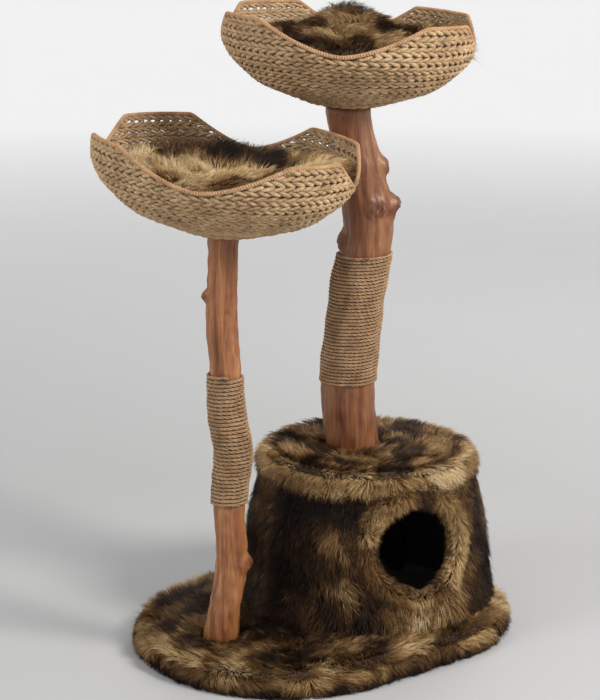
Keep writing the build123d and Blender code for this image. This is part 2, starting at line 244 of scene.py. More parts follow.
CAMERA_RIGHT = Vector((cos(RIGHT_HEADING), sin(RIGHT_HEADING), 0))
CAMERA_AWAY = Vector((-sin(RIGHT_HEADING), cos(RIGHT_HEADING), 0))


def node_material(name):
    material = bpy.data.materials.new(name)
    material.use_nodes = True
    tree = material.node_tree
    return material, tree, tree.nodes["Principled BSDF"]


def add_node(tree, kind, inputs=None, **settings):
    node = tree.nodes.new(kind)
    for key, value in settings.items():
        setattr(node, key, value)
    for key, value in (inputs or {}).items():
        if isinstance(value, bpy.types.NodeSocket):
            tree.links.new(value, node.inputs[key])
        else:
            node.inputs[key].default_value = value
    return node


def object_coords(tree, scale=(1, 1, 1)):
    coords = add_node(tree, "ShaderNodeTexCoord")
    mapping = add_node(tree, "ShaderNodeMapping", {"Vector": coords.outputs["Object"], "Scale": scale})
    return mapping.outputs["Vector"]


def noise_node(tree, vector, scale, detail=4, rough=0.55, distortion=0.0):
    inputs = {"Vector": vector, "Scale": scale, "Detail": detail}
    inputs.update({"Roughness": rough, "Distortion": distortion})
    return add_node(tree, "ShaderNodeTexNoise", inputs).outputs["Fac"]


def ramp(tree, fac, stops):
    node = add_node(tree, "ShaderNodeValToRGB", {"Fac": fac})
    elements = node.color_ramp.elements
    while len(elements) < len(stops):
        elements.new(0.5)
    for element, (place, colour) in zip(elements, stops):
        element.position = place
        element.color = colour
    return node.outputs["Color"]


def mix(tree, fac, first, second, blend="MIX"):
    node = tree.nodes.new("ShaderNodeMix")
    node.data_type = "RGBA"
    node.blend_type = blend
    for socket, value in ((0, fac), (6, first), (7, second)):
        if isinstance(value, bpy.types.NodeSocket):
            tree.links.new(value, node.inputs[socket])
        else:
            node.inputs[socket].default_value = value
    return node.outputs[2]


def bump(tree, shader, height, strength, distance):
    node = add_node(tree, "ShaderNodeBump", {"Height": height, "Strength": strength, "Distance": distance})
    tree.links.new(node.outputs["Normal"], shader.inputs["Normal"])


def paint(tree, shader, colour, roughness):
    tree.links.new(colour, shader.inputs["Base Color"])
    shader.inputs["Roughness"].default_value = roughness


def stage_material(name, colour):
    material, tree, shader = node_material(name)
    grain = noise_node(tree, object_coords(tree), 3)
    pale = ramp(tree, grain, [(0.3, colour), (0.7, tuple(min(1, c * 1.02) for c in colour[:3]) + (1,))])
    paint(tree, shader, pale, 0.9)
    glow = add_node(tree, "ShaderNodeVectorMath", {0: object_coords(tree, (1, 1, 0))}, operation="LENGTH")
    reach = add_node(
        tree,
        "ShaderNodeMapRange",
        {"Value": glow.outputs["Value"], "From Min": 1.0, "From Max": 6.5, "To Min": 0.0, "To Max": 0.60},
    )
    shader.inputs["Emission Color"].default_value = (1, 1, 1, 1)
    tree.links.new(reach.outputs["Result"], shader.inputs["Emission Strength"])
    return material


def make_stage():
    """Pale floor that curves up into a pale wall all round, out of every view's way."""
    sides, radii = 96, [0.01, 2, 4, 7, 9, 10.2, 10.8, 11]
    heights = [0, 0, 0, 0, 0.25, 0.95, 2.2, 8]
    verts = []
    for radius, height in zip(radii, heights):
        for k in range(sides):
            a = 2 * pi * k / sides
            verts.append((radius * cos(a), radius * sin(a), height))
    quads = ring_quads(len(radii), sides)[:, TURN_OVER]
    floor = build_mesh("stage_floor", verts, [quads], [stage_material("stage_pale", (0.50, 0.50, 0.50, 1))])
    floor.location.z = -0.0005


def area_light(name, at, aim, size, energy, colour):
    data = bpy.data.lights.new(name, "AREA")
    data.shape = "DISK"
    data.size = size
    data.energy = energy
    data.color = colour
    lamp = bpy.data.objects.new(name, data)
    lamp.location = at
    lamp.rotation_euler = (Vector(aim) - Vector(at)).to_track_quat("-Z", "Y").to_euler()
    scene.collection.objects.link(lamp)


def make_light():
    world = bpy.data.worlds.new("studio")
    world.use_nodes = True
    world.node_tree.nodes["Background"].inputs["Color"].default_value = (1, 1, 1, 1)
    world.node_tree.nodes["Background"].inputs["Strength"].default_value = 0.12
    scene.world = world
    aim = Vector((0, 0, 0.6))
    key_at = CAMERA_RIGHT * 2.2 - CAMERA_AWAY * 1.3 + Vector((0, 0, 2.5))
    fill_at = CAMERA_RIGHT * -2.2 - CAMERA_AWAY * 1.3 + Vector((0, 0, 2.3))
    back_at = CAMERA_RIGHT * 0.8 + CAMERA_AWAY * 2.4 + Vector((0, 0, 2.4))
    area_light("key", key_at, aim, 1.0, 96, (1, 0.98, 0.95))
    area_light("fill", fill_at, aim, 1.2, 30, (0.96, 0.98, 1))
    area_light("back", back_at, aim, 1.6, 26, (1, 1, 1))
    scene.view_settings.view_transform = "Standard"


make_stage()
make_light()

# ---------- materials ----------


# Tones that multiply the wood's, from a knot's middle outwards
KNOT_RINGS = [
    (0.26, (0.20, 0.11, 0.07, 1)),
    (0.36, (0.70, 0.48, 0.36, 1)),
    (0.46, (0.26, 0.13, 0.08, 1)),
    (0.58, (0.66, 0.46, 0.35, 1)),
    (0.72, (0.45, 0.27, 0.19, 1)),
    (0.95, (1, 1, 1, 1)),
]


def wood_material(name, knots, red, shade):
    """Peeled branch: streaks along the grain, darker patches, dark rings round the knots."""
    material, tree, shader = node_material(name)
    streak = noise_node(tree, object_coords(tree, (1, 1, 0.07)), 85, 6, 0.62, 0.4)
    stops = [
        (0.30, srgb((96 + red) * shade, 56 * shade, 30 * shade)),
        (0.45, srgb((136 + red) * shade, 86 * shade, 48 * shade)),
        (0.60, srgb(166 * shade, 113 * shade, 69 * shade)),
        (0.80, srgb(198 * shade, 148 * shade, 100 * shade)),
    ]
    colour = ramp(tree, streak, stops)
    patch = noise_node(tree, object_coords(tree, (1, 1, 0.45)), 11, 3, 0.6, 0.8)
    patch_tone = ramp(tree, patch, [(0.35, (0.50, 0.36, 0.28, 1)), (0.58, (1, 1, 1, 1))])
    colour = mix(tree, 0.55, colour, patch_tone, "MULTIPLY")
    hair = noise_node(tree, object_coords(tree, (1, 1, 0.03)), 420, 3, 0.7)
    hair_tone = ramp(tree, hair, [(0.36, (0.62, 0.5, 0.42, 1)), (0.52, (1, 1, 1, 1))])
    colour = mix(tree, 0.55, colour, hair_tone, "MULTIPLY")
    coords = object_coords(tree)
    for centre, _, radius, _ in knots:
        away = add_node(tree, "ShaderNodeVectorMath", {0: coords, 1: centre}, operation="DISTANCE")
        wobble = noise_node(tree, coords, 60, 3)
        inputs = {0: wobble, 1: radius * 1.4, 2: away.outputs["Value"]}
        shifted = add_node(tree, "ShaderNodeMath", inputs, operation="MULTIPLY_ADD")
        inputs = {0: shifted.outputs[0], 1: 1 / (2.2 * radius)}
        scaled = add_node(tree, "ShaderNodeMath", inputs, operation="MULTIPLY")
        ring = ramp(tree, scaled.outputs[0], KNOT_RINGS)
        colour = mix(tree, 0.8, colour, ring, "MULTIPLY")
    tree.links.new(colour, shader.inputs["Base Color"])
    gloss = ramp(tree, streak, [(0.3, (0.50, 0.50, 0.50, 1)), (0.7, (0.42, 0.42, 0.42, 1))])
    tree.links.new(gloss, shader.inputs["Roughness"])
    bump(tree, shader, mix(tree, 0.5, streak, hair), 0.5, 0.0012)
    return material


def fibre_material(name, tones, grain_scale, stretch=(1, 1, 1), painted_shade_reach=None):
    """Twisted natural fibre: uneven tone, a fine fibrous bump, and, if asked, painted shade that darkens
    its crevices by ambient occlusion.
    """
    material, tree, shader = node_material(name)
    dark, mid, light = (srgb(*tone) for tone in tones)
    fine = noise_node(tree, object_coords(tree, stretch), grain_scale, 4, 0.65)
    patch = noise_node(tree, object_coords(tree), 28, 3, 0.6)
    blend = mix(tree, 0.45, fine, patch)
    colour = ramp(tree, blend, [(0.30, dark), (0.50, mid), (0.70, light)])
    if painted_shade_reach:
        # painted shade: ambient occlusion darkens the crevices towards a dark brown
        hidden = add_node(tree, "ShaderNodeAmbientOcclusion", {"Distance": painted_shade_reach}, samples=4)
        shade = ramp(tree, hidden.outputs["AO"], [(0.22, (0.10, 0.065, 0.04, 1)), (0.72, (1, 1, 1, 1))])
        colour = mix(tree, 0.85, colour, shade, "MULTIPLY")
    paint(tree, shader, colour, 0.85)
    bump(tree, shader, fine, 0.6, 0.0006)
    return material


def plywood_material():
    material, tree, shader = node_material("plywood")
    grain = noise_node(tree, object_coords(tree, (0.2, 1, 1)), 60, 5, 0.6, 0.6)
    inputs = {"Vector": object_coords(tree), "Scale": 90, "Distortion": 0.6, "Detail": 1}
    plies = add_node(tree, "ShaderNodeTexWave", inputs, bands_direction="Z")
    face = ramp(tree, grain, [(0.3, srgb(176, 138, 92)), (0.7, srgb(216, 184, 138))])
    colour = mix(tree, 0.25, face, plies.outputs["Color"], "MULTIPLY")
    paint(tree, shader, colour, 0.7)
    bump(tree, shader, grain, 0.3, 0.0004)
    return material


def metal_material(name, colour, roughness):
    material, tree, shader = node_material(name)
    scratch = noise_node(tree, object_coords(tree, (1, 1, 0.2)), 900, 3)
    tone = ramp(tree, scratch, [(0.3, tuple(c * 0.8 for c in colour[:3]) + (1,)), (0.7, colour)])
    tree.links.new(tone, shader.inputs["Base Color"])
    shader.inputs["Metallic"].default_value = 1
    rough = ramp(tree, scratch, [(0.3, (roughness,) * 3 + (1,)), (0.7, (roughness + 0.15,) * 3 + (1,))])
    tree.links.new(rough, shader.inputs["Roughness"])
    return material


def felt_material(name, tones):
    material, tree, shader = node_material(name)
    dark, light = (srgb(*tone) for tone in tones)
    fuzz = noise_node(tree, object_coords(tree), 900, 5, 0.7)
    cloud = noise_node(tree, object_coords(tree), 18, 3)
    colour = ramp(tree, mix(tree, 0.5, fuzz, cloud), [(0.35, dark), (0.65, light)])
    paint(tree, shader, colour, 1)
    shader.inputs["Sheen Weight"].default_value = 0.3
    bump(tree, shader, fuzz, 0.6, 0.0006)
    return material


def fur_skin_material(name, tones):
    """The cloth and short underfur that show between the long hairs."""
    material, tree, shader = node_material(name)
    dark, mid, light = (srgb(*tone) for tone in tones)
    locks = noise_node(tree, object_coords(tree, (1, 1, 0.5)), 30, 5, 0.7, 1.2)
    hairs = noise_node(tree, object_coords(tree, (1, 1, 0.2)), 420, 3, 0.7)
    colour = ramp(tree, mix(tree, 0.4, locks, hairs), [(0.36, dark), (0.5, mid), (0.66, light)])
    paint(tree, shader, colour, 0.95)
    shader.inputs["Sheen Weight"].default_value = 0.2
    bump(tree, shader, hairs, 0.8, 0.002)
    return material


# Hair shades run from near black to cream; each hair takes three of them, root to tip.
HAIR_STOPS = [
    (0.0, (24, 17, 14)),
    (0.25, (66, 43, 25)),
    (0.5, (128, 93, 54)),
    (0.75, (190, 156, 106)),
    (1.0, (240, 218, 174)),
]
HAIR_COUNT = 14


def hair_colour(tone):
    for (low, first), (high, second) in zip(HAIR_STOPS, HAIR_STOPS[1:]):
        if tone <= high:
            part = (tone - low) / (high - low)
            return srgb(*(a + (b - a) * part for a, b in zip(first, second)))
    return srgb(*HAIR_STOPS[-1][1])


def hair_materials():
    shades = []
    for i in range(HAIR_COUNT):
        material, _, shader = node_material(f"hair_{i:02d}")
        shader.inputs["Base Color"].default_value = hair_colour(i / (HAIR_COUNT - 1))
        shader.inputs["Roughness"].default_value = 0.55
        shader.inputs["Specular IOR Level"].default_value = 0.25
        shades.append(material)
    return shades


HAIRS = hair_materials()
PLYWOOD = plywood_material()
STAINED = fibre_material("stained_wood", [(12, 9, 8), (20, 15, 12), (28, 21, 17)], 60, (1, 1, 0.1))
ZINC = metal_material("zinc_plated_steel", (0.62, 0.62, 0.63, 1), 0.3)
BLACK_STEEL = metal_material("blackened_steel", (0.12, 0.11, 0.10, 1), 0.4)
DARK_FELT = felt_material("dark_felt", [(18, 15, 14), (44, 38, 34)])
WADDING = felt_material("wadding", [(205, 202, 192), (236, 234, 226)])
JUTE_TONES = [(96, 70, 46), (156, 122, 88), (194, 164, 128)]
LEAF_TONES = [(100, 73, 48), (172, 140, 102), (206, 180, 142)]
# the jute rope and the leaf cord get painted shade in their crevices, out to these distances
JUTE = fibre_material("jute_rope", JUTE_TONES, 520, painted_shade_reach=4 * MM)
LEAF = fibre_material("leaf_cord", LEAF_TONES, 240, painted_shade_reach=12 * MM)
RIM = fibre_material("rim_cord", [(116, 82, 54), (180, 140, 102), (210, 174, 134)], 400)
CANE = fibre_material("cane", [(110, 74, 42), (160, 116, 72), (190, 150, 104)], 200, (1, 1, 0.1))
FUR_SKIN = fur_skin_material("fur_skin", [(22, 15, 12), (62, 42, 26), (120, 90, 54)])
PAD_SKIN = fur_skin_material("cushion_skin", [(54, 42, 34), (128, 104, 74), (190, 164, 124)])

# What each kept CAD node is made of, by the ending of its name
NODE_LOOKS = [
    (("_board", "_disc", "house_wall"), PLYWOOD),
    (("battens",), STAINED),
    (("_bolt", "_washer"), ZINC),
    (("_screws", "_staples"), BLACK_STEEL),
    (("underlay", "lining", "floor_pad"), DARK_FELT),
    (("filling",), WADDING),
    (("_ribs",), CANE),
]


def dress_nodes():
    """Every CAD node that stays in view gets its procedural material."""
    for name, obj in frame["nodes"].items():
        for endings, material in NODE_LOOKS:
            if name.endswith(endings):
                obj.data.materials.clear()
                obj.data.materials.append(material)


dress_nodes()

# ---------- branch posts ----------
POST_SIDES = 112
# Knots: centre on the bark, how far it stands out, its radius, and the depth of its crater
KNOTS = {
    "front": [
        ((-0.250, 0.024, 0.677), 0.006, 0.010, 0.003),
        ((-0.196, -0.032, 0.184), 0.009, 0.012, 0.004),
        ((-0.235, -0.030, 0.640), 0.001, 0.006, 0.002),
    ],
    "back": [
        ((0.150, -0.018, 0.868), 0.001, 0.014, 0.003),
        ((0.158, -0.022, 0.845), -0.004, 0.014, 0.000),
        ((0.163, -0.014, 0.808), 0.007, 0.009, 0.002),
        ((0.153, -0.022, 0.787), 0.004, 0.013, 0.000),
        ((0.136, -0.027, 0.780), -0.006, 0.006, 0.000),
        ((0.112, -0.026, 0.797), 0.006, 0.014, 0.006),
        ((0.122, -0.027, 0.868), -0.004, 0.007, 0.000),
        ((0.076, 0.057, 0.728), -0.006, 0.020, 0.000),
    ],
}


class Branch:
    """A post's outer surface as radii round a centreline, read from its CAD node."""

    def __init__(self, name, bowl):
        node = f"{name}_post"
        low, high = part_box(node)
        self.name = name
        self.z_low = low.z
        self.origin, _, _, self.seat_z = BOWLS[bowl]
        hull = hull_of(frame["nodes"][node])
        middle_x, middle_y = (low.x + high.x) / 2, (low.y + high.y) / 2
        self.rows = int((high.z - low.z) / (4 * MM))
        self.z_top = self.seat_height(middle_x, middle_y) - 14 * MM
        self.zs = np.linspace(self.z_low + 2 * MM, self.z_top, self.rows)
        self.angles = around_circle(POST_SIDES)
        self.centres = np.tile((middle_x, middle_y), (self.rows, 1))
        for _ in range(2):
            hits = self.cast(hull)
            self.centres = hits.mean(axis=1)
        self.radii = np.linalg.norm(self.cast(hull) - self.centres[:, None, :], axis=2)
        self.soften(4)
        self.shape()

    def seat_height(self, x, y):
        n = self.seat_z
        return self.origin.z - ((x - self.origin.x) * n.x + (y - self.origin.y) * n.y) / n.z

    def cast(self, hull):
        hits = np.zeros((self.rows, POST_SIDES, 2))
        for i, z in enumerate(self.zs):
            cx, cy = self.centres[i]
            for k, a in enumerate(self.angles):
                way = Vector((cos(a), sin(a), 0))
                start = Vector((cx, cy, z)) + way * 0.15
                hit = hull.ray_cast(start, -way)[0]
                if hit is None:
                    hit = Vector((cx, cy, z)) + way * 0.03
                hits[i, k] = hit.x, hit.y
        return hits

    def soften(self, times):
        """Blends the CAD's round knots into the wood."""
        for _ in range(times):
            r = self.radii
            around = (np.roll(r, 1, 1) + np.roll(r, -1, 1)) / 2
            along = np.vstack([r[:1], (r[:-2] + r[2:]) / 2, r[-1:]])
            self.radii = 0.4 * r + 0.3 * around + 0.3 * along

    def shape(self):
        """Grooves along the grain, slow swellings and small bumps."""
        z = np.repeat(self.zs, POST_SIDES)
        a = np.tile(self.angles, self.rows)
        seed = 11 if self.name == "front" else 23
        slow = np.column_stack([np.cos(a) * 0.05, np.sin(a) * 0.05, z])
        long = np.column_stack([np.cos(a) * 0.05, np.sin(a) * 0.05, z * 0.12])
        relief = 1.5 * MM * ripple(slow, 0.10, seed) + 0.8 * MM * ripple(long, 0.020, seed + 1)
        relief += 0.35 * MM * ripple(long, 0.007, seed + 2)
        here, radius = self.at(a, z)
        bark = np.column_stack([here[:, 0] + radius * np.cos(a), here[:, 1] + radius * np.sin(a), z])
        for centre, height, size, crater in KNOTS[self.name]:
            away = np.linalg.norm(bark - np.array(centre), axis=1) / size
            relief += height * np.exp(-(away**2) / 2) - crater * np.exp(-(away**2) * 4)
            relief += 1.3 * MM * np.exp(-(away**2) / 5) * ripple(bark, 0.011, seed + 7)
            relief -= 1.2 * MM * np.exp(-((away - 1.9) ** 2) * 3)
        self.radii += relief.reshape(self.radii.shape)

    def at(self, angle, z):
        """Centre and radius at arrays of angles and heights."""
        row = np.clip((z - self.zs[0]) / (self.zs[-1] - self.zs[0]) * (self.rows - 1), 0, self.rows - 1.001)
        col = (angle % (2 * pi)) / (2 * pi) * POST_SIDES
        i, k = row.astype(int), col.astype(int) % POST_SIDES
        up, along = row - i, col - col.astype(int)
        k2 = (k + 1) % POST_SIDES
        r = self.radii
        radius = (r[i, k] * (1 - along) + r[i, k2] * along) * (1 - up)
        radius += (r[i + 1, k] * (1 - along) + r[i + 1, k2] * along) * up
        centre = self.centres[i] * (1 - up[:, None]) + self.centres[i + 1] * up[:, None]
        return centre, radius

    def mesh(self, material):
        rings = []
        for i, z in enumerate(self.zs):
            x = self.centres[i, 0] + self.radii[i] * np.cos(self.angles)
            y = self.centres[i, 1] + self.radii[i] * np.sin(self.angles)
            rings.append(np.column_stack([x, y, np.full(POST_SIDES, z)]))
        bottom = rings[0].copy()
        bottom[:, 2] = self.z_low
        top = rings[-1].copy()
        for k in range(POST_SIDES):
            top[k, 2] = self.seat_height(top[k, 0], top[k, 1]) - 0.3 * MM
        rings = [bottom, *rings, top]
        verts = np.concatenate(rings)
        faces = [ring_quads(len(rings), POST_SIDES), end_caps(len(rings), POST_SIDES)]
        obj = build_mesh(f"{self.name}_branch", verts, faces, [material])
        return settle(obj, "root", "branch_wood", f"{self.name}_post")


def make_rope(branch, node, thick, material, seed):
    """A three-strand rope laid turn on turn round a branch, over the height of its CAD sleeve."""
    low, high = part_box(node)
    rng = np.random.default_rng(seed)
    pitch = thick * 1.04
    turns = (high.z - low.z - thick) / pitch
    lay = 4.2 * thick
    step = 3.2 * MM
    mean_r = (high.x - low.x) / 2 * 0.82
    count = int(turns * 2 * pi * mean_r / step)
    phase = np.linspace(0, turns * 2 * pi, count)
    z = low.z + thick / 2 + phase / (2 * pi) * pitch
    wobble = np.column_stack([np.cos(phase) * 0.1, np.sin(phase) * 0.1, phase * 0.02])
    z = z + 0.35 * MM * ripple(wobble, 0.06, seed)
    centre, radius = branch.at(phase, z)
    reach = radius + thick * 0.48 + 0.25 * MM * ripple(wobble, 0.04, seed + 1)
    out = at_height(plan_way(phase))
    path = np.column_stack([centre + out[:, :2] * reach[:, None], z])
    tangent = unit(np.gradient(path, axis=0))
    side = np.cross(tangent, out)
    run = np.concatenate([[0], np.cumsum(np.linalg.norm(np.diff(path, axis=0), axis=1))])
    tubes = []
    for strand in range(3):
        twist = 2 * pi * (run / lay + strand / 3) + rng.uniform(0, 0.4)
        offset = thick * 0.25
        line = path + out * (offset * np.cos(twist))[:, None] + side * (offset * np.sin(twist))[:, None]
        girth = thick * 0.265 * (1 + 0.08 * ripple(line, 0.012, seed + 5 + strand))
        tubes.append(tube(line, out, girth, girth, 6, False))
    verts, faces = join_tubes(tubes)
    obj = build_mesh(f"{branch.name}_rope_turns", verts, faces, [material])
    return settle(obj, "root", "jute_rope", node)


def make_posts():
    # each post's bowl, its wood's redness and shade, and its rope's thickness and seed
    posts = {"front": ("lower", 6, 1, 6.8 * MM, 41), "back": ("upper", 10, 0.86, 6.2 * MM, 57)}
    for name, (bowl, red, shade, thick, seed) in posts.items():
        branch = Branch(name, bowl)
        branch.mesh(wood_material(f"{name}_branch_wood", KNOTS[name], red, shade))
        make_rope(branch, f"{name}_post_rope", thick, JUTE, seed)


make_posts()

# ---------- woven bowls ----------


def filleted(corners, radii, step=2.0):
    """Dense outline through the corners with tangent arcs, in mm."""
    corners = [np.array(c, float) for c in corners]
    points = [corners[0]]
    for before, corner, after, radius in zip(corners, corners[1:], corners[2:], radii):
        u = (before - corner) / np.linalg.norm(before - corner)
        v = (after - corner) / np.linalg.norm(after - corner)
        half = np.arccos(np.clip(u @ v, -1, 1)) / 2
        setback = radius / tan(half)
        start, end = corner + u * setback, corner + v * setback
        centre = corner + (u + v) / np.linalg.norm(u + v) * radius / sin(half)
        a0 = atan2(*(start - centre)[::-1])
        a1 = atan2(*(end - centre)[::-1])
        n = max(2, int(abs(a1 - a0) * radius / step))
        for t in np.linspace(0, 1, n + 1):
            a = a0 + (a1 - a0) * t
            points.append(centre + radius * np.array([cos(a), sin(a)]))
    points.append(corners[-1])
    dense = [points[0]]
    for a, b in zip(points, points[1:]):
        n = max(1, int(np.linalg.norm(b - a) / step))
        for t in range(1, n + 1):
            dense.append(a + (b - a) * t / n)
    return np.array(dense)


OUTLINE = filleted(BOWL_CORNERS, BOWL_RADII) * MM
OUTLINE_WAY = unit(np.gradient(OUTLINE, axis=0))
OUTLINE_IN = np.column_stack([-OUTLINE_WAY[:, 1], OUTLINE_WAY[:, 0]])
OUTLINE_RUN = np.concatenate([[0], np.cumsum(np.linalg.norm(np.diff(OUTLINE, axis=0), axis=1))])


def wall_at(run, depth):
    """Radius and height on the bowl's wall at this run from the centre and depth inside it."""
    line = OUTLINE + OUTLINE_IN * depth
    return np.interp(run, OUTLINE_RUN, line[:, 0]), np.interp(run, OUTLINE_RUN, line[:, 1])


def rim_height(x, y):
    """Height of the rim's wave: four dips between four flat-topped lobes."""
    across = np.abs(x) / np.where(y < 0, FRONT_DIP, BACK_DIP)
    rise = np.minimum(np.minimum(across, np.abs(y) / SIDE_DIP), 1)
    return DIP_H + (BOWL_H - DIP_H) * rise**DIP_POWER


def to_world(bowl, points):
    origin, x, y, z = BOWLS[bowl]
    axes = np.array([x, y, z])
    return np.array(origin) + points @ axes


ROW_PITCH = 9.5 * MM
FIRST_ROW = 12 * MM
TOP_ROW_DROP = 11.5 * MM
STITCH = 18.5 * MM
STRAND_R = 3.2 * MM
SWING_OUT = 2.3 * MM
SWING_UP = 2.6 * MM
ROW_TO_RIM = 9 * MM
SHORTEST_ROW = 10  # in samples
LOOP_REACH = 5.5 * MM
RIM_CORE_R = 2.6 * MM
RIM_PITCH = 4.6 * MM
RIM_SAMPLES = 8  # points on each turn of the rim's cord


def row_strands(row, angle, run, hand, phase):
    """The two strands of one twined row, in the bowl's frame."""
    n = len(angle)
    around = np.column_stack([np.cos(angle), np.sin(angle), np.full(n, row * 0.31)])
    run = run + 0.9 * MM * ripple(around * 0.2, 0.14, 700 + row // 3)
    radius, height = wall_at(run, WEAVE_T / 2)
    ahead_r, ahead_h = wall_at(run + 2 * MM, WEAVE_T / 2)
    slope = unit(np.column_stack([ahead_r - radius, ahead_h - height]))
    out2 = np.column_stack([slope[:, 1], -slope[:, 0]])
    flat = plan_way(angle)
    centre = np.column_stack([flat * radius[:, None], height])
    out = np.column_stack([flat * out2[:, :1], out2[:, 1]])
    up = np.column_stack([flat * slope[:, :1], slope[:, 1]])
    lines = []
    for strand in range(2):
        twist = phase + strand * pi
        swing_out = np.cos(twist) * SWING_OUT
        swing_up = hand * np.sin(twist) * SWING_UP
        line = centre + out * swing_out[:, None] + up * swing_up[:, None]
        plump = 1 + 0.12 * np.cos(twist) + 0.16 * ripple(line, 0.024, 40 + row + 100 * strand)
        lines.append((line, out, STRAND_R * plump))
    return lines


def weave_rows(seed):
    """All strands of the bowl's twined rows, as tubes, lowest row first."""
    rng = np.random.default_rng(seed)
    rows = []
    top_run = np.interp(BOWL_H - TOP_ROW_DROP, OUTLINE[:, 1], OUTLINE_RUN)
    count = round((top_run - FIRST_ROW) / ROW_PITCH) + 1
    for row, run in enumerate(np.linspace(FIRST_ROW, top_run, count)):
        radius, height = wall_at(run, WEAVE_T / 2)
        hand = 1 if row % 2 else -1
        start = rng.uniform(0, 2 * pi)
        samples = max(24, int(2 * pi * radius / (STITCH / 7)))
        whole = around_circle(samples)
        rim = rim_height(radius * np.cos(whole), radius * np.sin(whole))
        inside = height < rim - ROW_TO_RIM
        tubes = []
        if inside.all():
            half_turns = 2 * max(2, round(2 * pi * radius / STITCH / 2))
            phase = start + whole * half_turns / 2
            for line, out, girth in row_strands(row, whole, np.full(samples, run), hand, phase):
                tubes.append(tube(line, out, girth, girth * 1.08, 8, True))
        else:
            edges = np.flatnonzero(inside & ~np.roll(inside, 1))
            for first in edges:
                length = 0
                while inside[(first + length) % samples]:
                    length += 1
                if length < SHORTEST_ROW:
                    continue
                angle = whole[first] + np.arange(length) * 2 * pi / samples
                phase = start + angle * radius * pi / STITCH
                (a, out, ga), (b, _, gb) = row_strands(row, angle, np.full(length, run), hand, phase)
                tubes.append(looped(a, b, out, ga, gb))
        rows.append(tubes)
    return rows


def looped(a, b, out, ga, gb):
    """Two strands of a short row joined by a loop at each end, round the edge wire."""
    ends = []
    for here, there, side in ((-1, -1, 1), (0, 0, -1)):
        flat = a[here, :2] / np.linalg.norm(a[here, :2])
        along = np.array([-flat[1], flat[0], 0]) * side
        mid = (a[here] + b[there]) / 2
        half = (a[here] - b[there]) / 2
        arc = []
        for t in np.linspace(0, pi, 6)[1:-1]:
            arc.append(mid + half * cos(t) + along * sin(t) * LOOP_REACH)
        ends.append(np.array(arc))
    head, tail = ends
    line = np.concatenate([a, head, b[::-1], tail[::-1]])
    outward = np.concatenate([out, np.tile(out[-1], (4, 1)), out[::-1], np.tile(out[0], (4, 1))])
    girth = np.concatenate([ga, np.full(4, STRAND_R), gb[::-1], np.full(4, STRAND_R)])
    return tube(line, outward, girth, girth * 1.05, 8, True)


def rim_line(samples, drop):
    """Closed line along the rim's wave, this far below its top edge, in the bowl's frame."""
    angle = around_circle(samples)
    radius = np.full(samples, OUTLINE[-1, 0] - WEAVE_T / 2)
    for _ in range(4):
        height = rim_height(radius * np.cos(angle), radius * np.sin(angle)) - drop
        run = np.interp(height, OUTLINE[:, 1] + OUTLINE_IN[:, 1] * WEAVE_T / 2, OUTLINE_RUN)
        radius, _ = wall_at(run, WEAVE_T / 2)
    return np.column_stack([radius * np.cos(angle), radius * np.sin(angle), height])


def smooth_closed(line, times):
    for _ in range(times):
        line = 0.5 * line + 0.25 * (np.roll(line, 1, 0) + np.roll(line, -1, 0))
    return line


def make_rim(bowl):
    """The rim's core, close-wrapped with a thin cord."""
    base = smooth_closed(rim_line(720, 3.6 * MM), 6)
    flat = base[:, :2] / np.linalg.norm(base[:, :2], axis=1, keepdims=True)
    zero = to_world(bowl, np.zeros(3))
    out = to_world(bowl, at_height(flat)) - zero
    core = tube(to_world(bowl, base), out, RIM_CORE_R, RIM_CORE_R, 8, True)
    run = np.concatenate([[0], np.cumsum(np.linalg.norm(np.diff(base, axis=0), axis=1))])
    total = run[-1] + np.linalg.norm(base[0] - base[-1])
    samples = round(total / RIM_PITCH) * RIM_SAMPLES
    at = np.arange(samples) / samples * total
    closed = np.vstack([base, base[:1]])
    closed_run = np.append(run, total)
    line = np.column_stack([np.interp(at, closed_run, closed[:, k]) for k in range(3)])
    tangent = unit(np.roll(line, -1, 0) - np.roll(line, 1, 0))
    flat = line[:, :2] / np.linalg.norm(line[:, :2], axis=1, keepdims=True)
    out = at_height(flat)
    out = unit(out - tangent * np.sum(out * tangent, axis=1, keepdims=True))
    side = np.cross(tangent, out)
    a = np.arange(samples) / RIM_SAMPLES * 2 * pi
    normal = out * np.cos(a)[:, None] + side * np.sin(a)[:, None]
    wrap = line + normal * 2.9 * MM
    wrapped = tube(to_world(bowl, wrap), to_world(bowl, normal) - zero, 1.3 * MM, 2.3 * MM, 6, True)
    verts, faces = join_tubes([core, wrapped])
    obj = build_mesh(f"{bowl}_rim_wrap", verts, faces, [RIM])
    return settle(obj, "root", "rim_cord", f"{bowl}_basket_binding")


WEAVE_BANDS = 4


def make_bowl(bowl, seed):
    """The twined wall, in bands of rows, and its wrapped rim."""
    rows = weave_rows(seed)
    band = ceil(len(rows) / WEAVE_BANDS)
    for i in range(WEAVE_BANDS):
        tubes = [t for row in rows[i * band:(i + 1) * band] for t in row]
        verts, faces = join_tubes(tubes)
        obj = build_mesh(f"{bowl}_weave_{i + 1}", to_world(bowl, verts), faces, [LEAF])
        settle(obj, "root", "banana_leaf_cord", *([f"{bowl}_basket_weave"] if i == 0 else []))
    make_rim(bowl)


make_bowl("lower", 301)
make_bowl("upper", 402)

# ---------- fur ----------
HAIRS_PER_PIECE = 12000
HAIR_R = 0.5 * MM
BASE_TOP_HAIRS = 24000
BASE_EDGE_HAIRS = 17000
HUT_WALL_HAIRS = 46000
HUT_TOP_HAIRS = 12000
HUT_ROLL_HAIRS = 9000
ENTRY_HAIRS = 11500
CUSHION_HAIRS = 19000


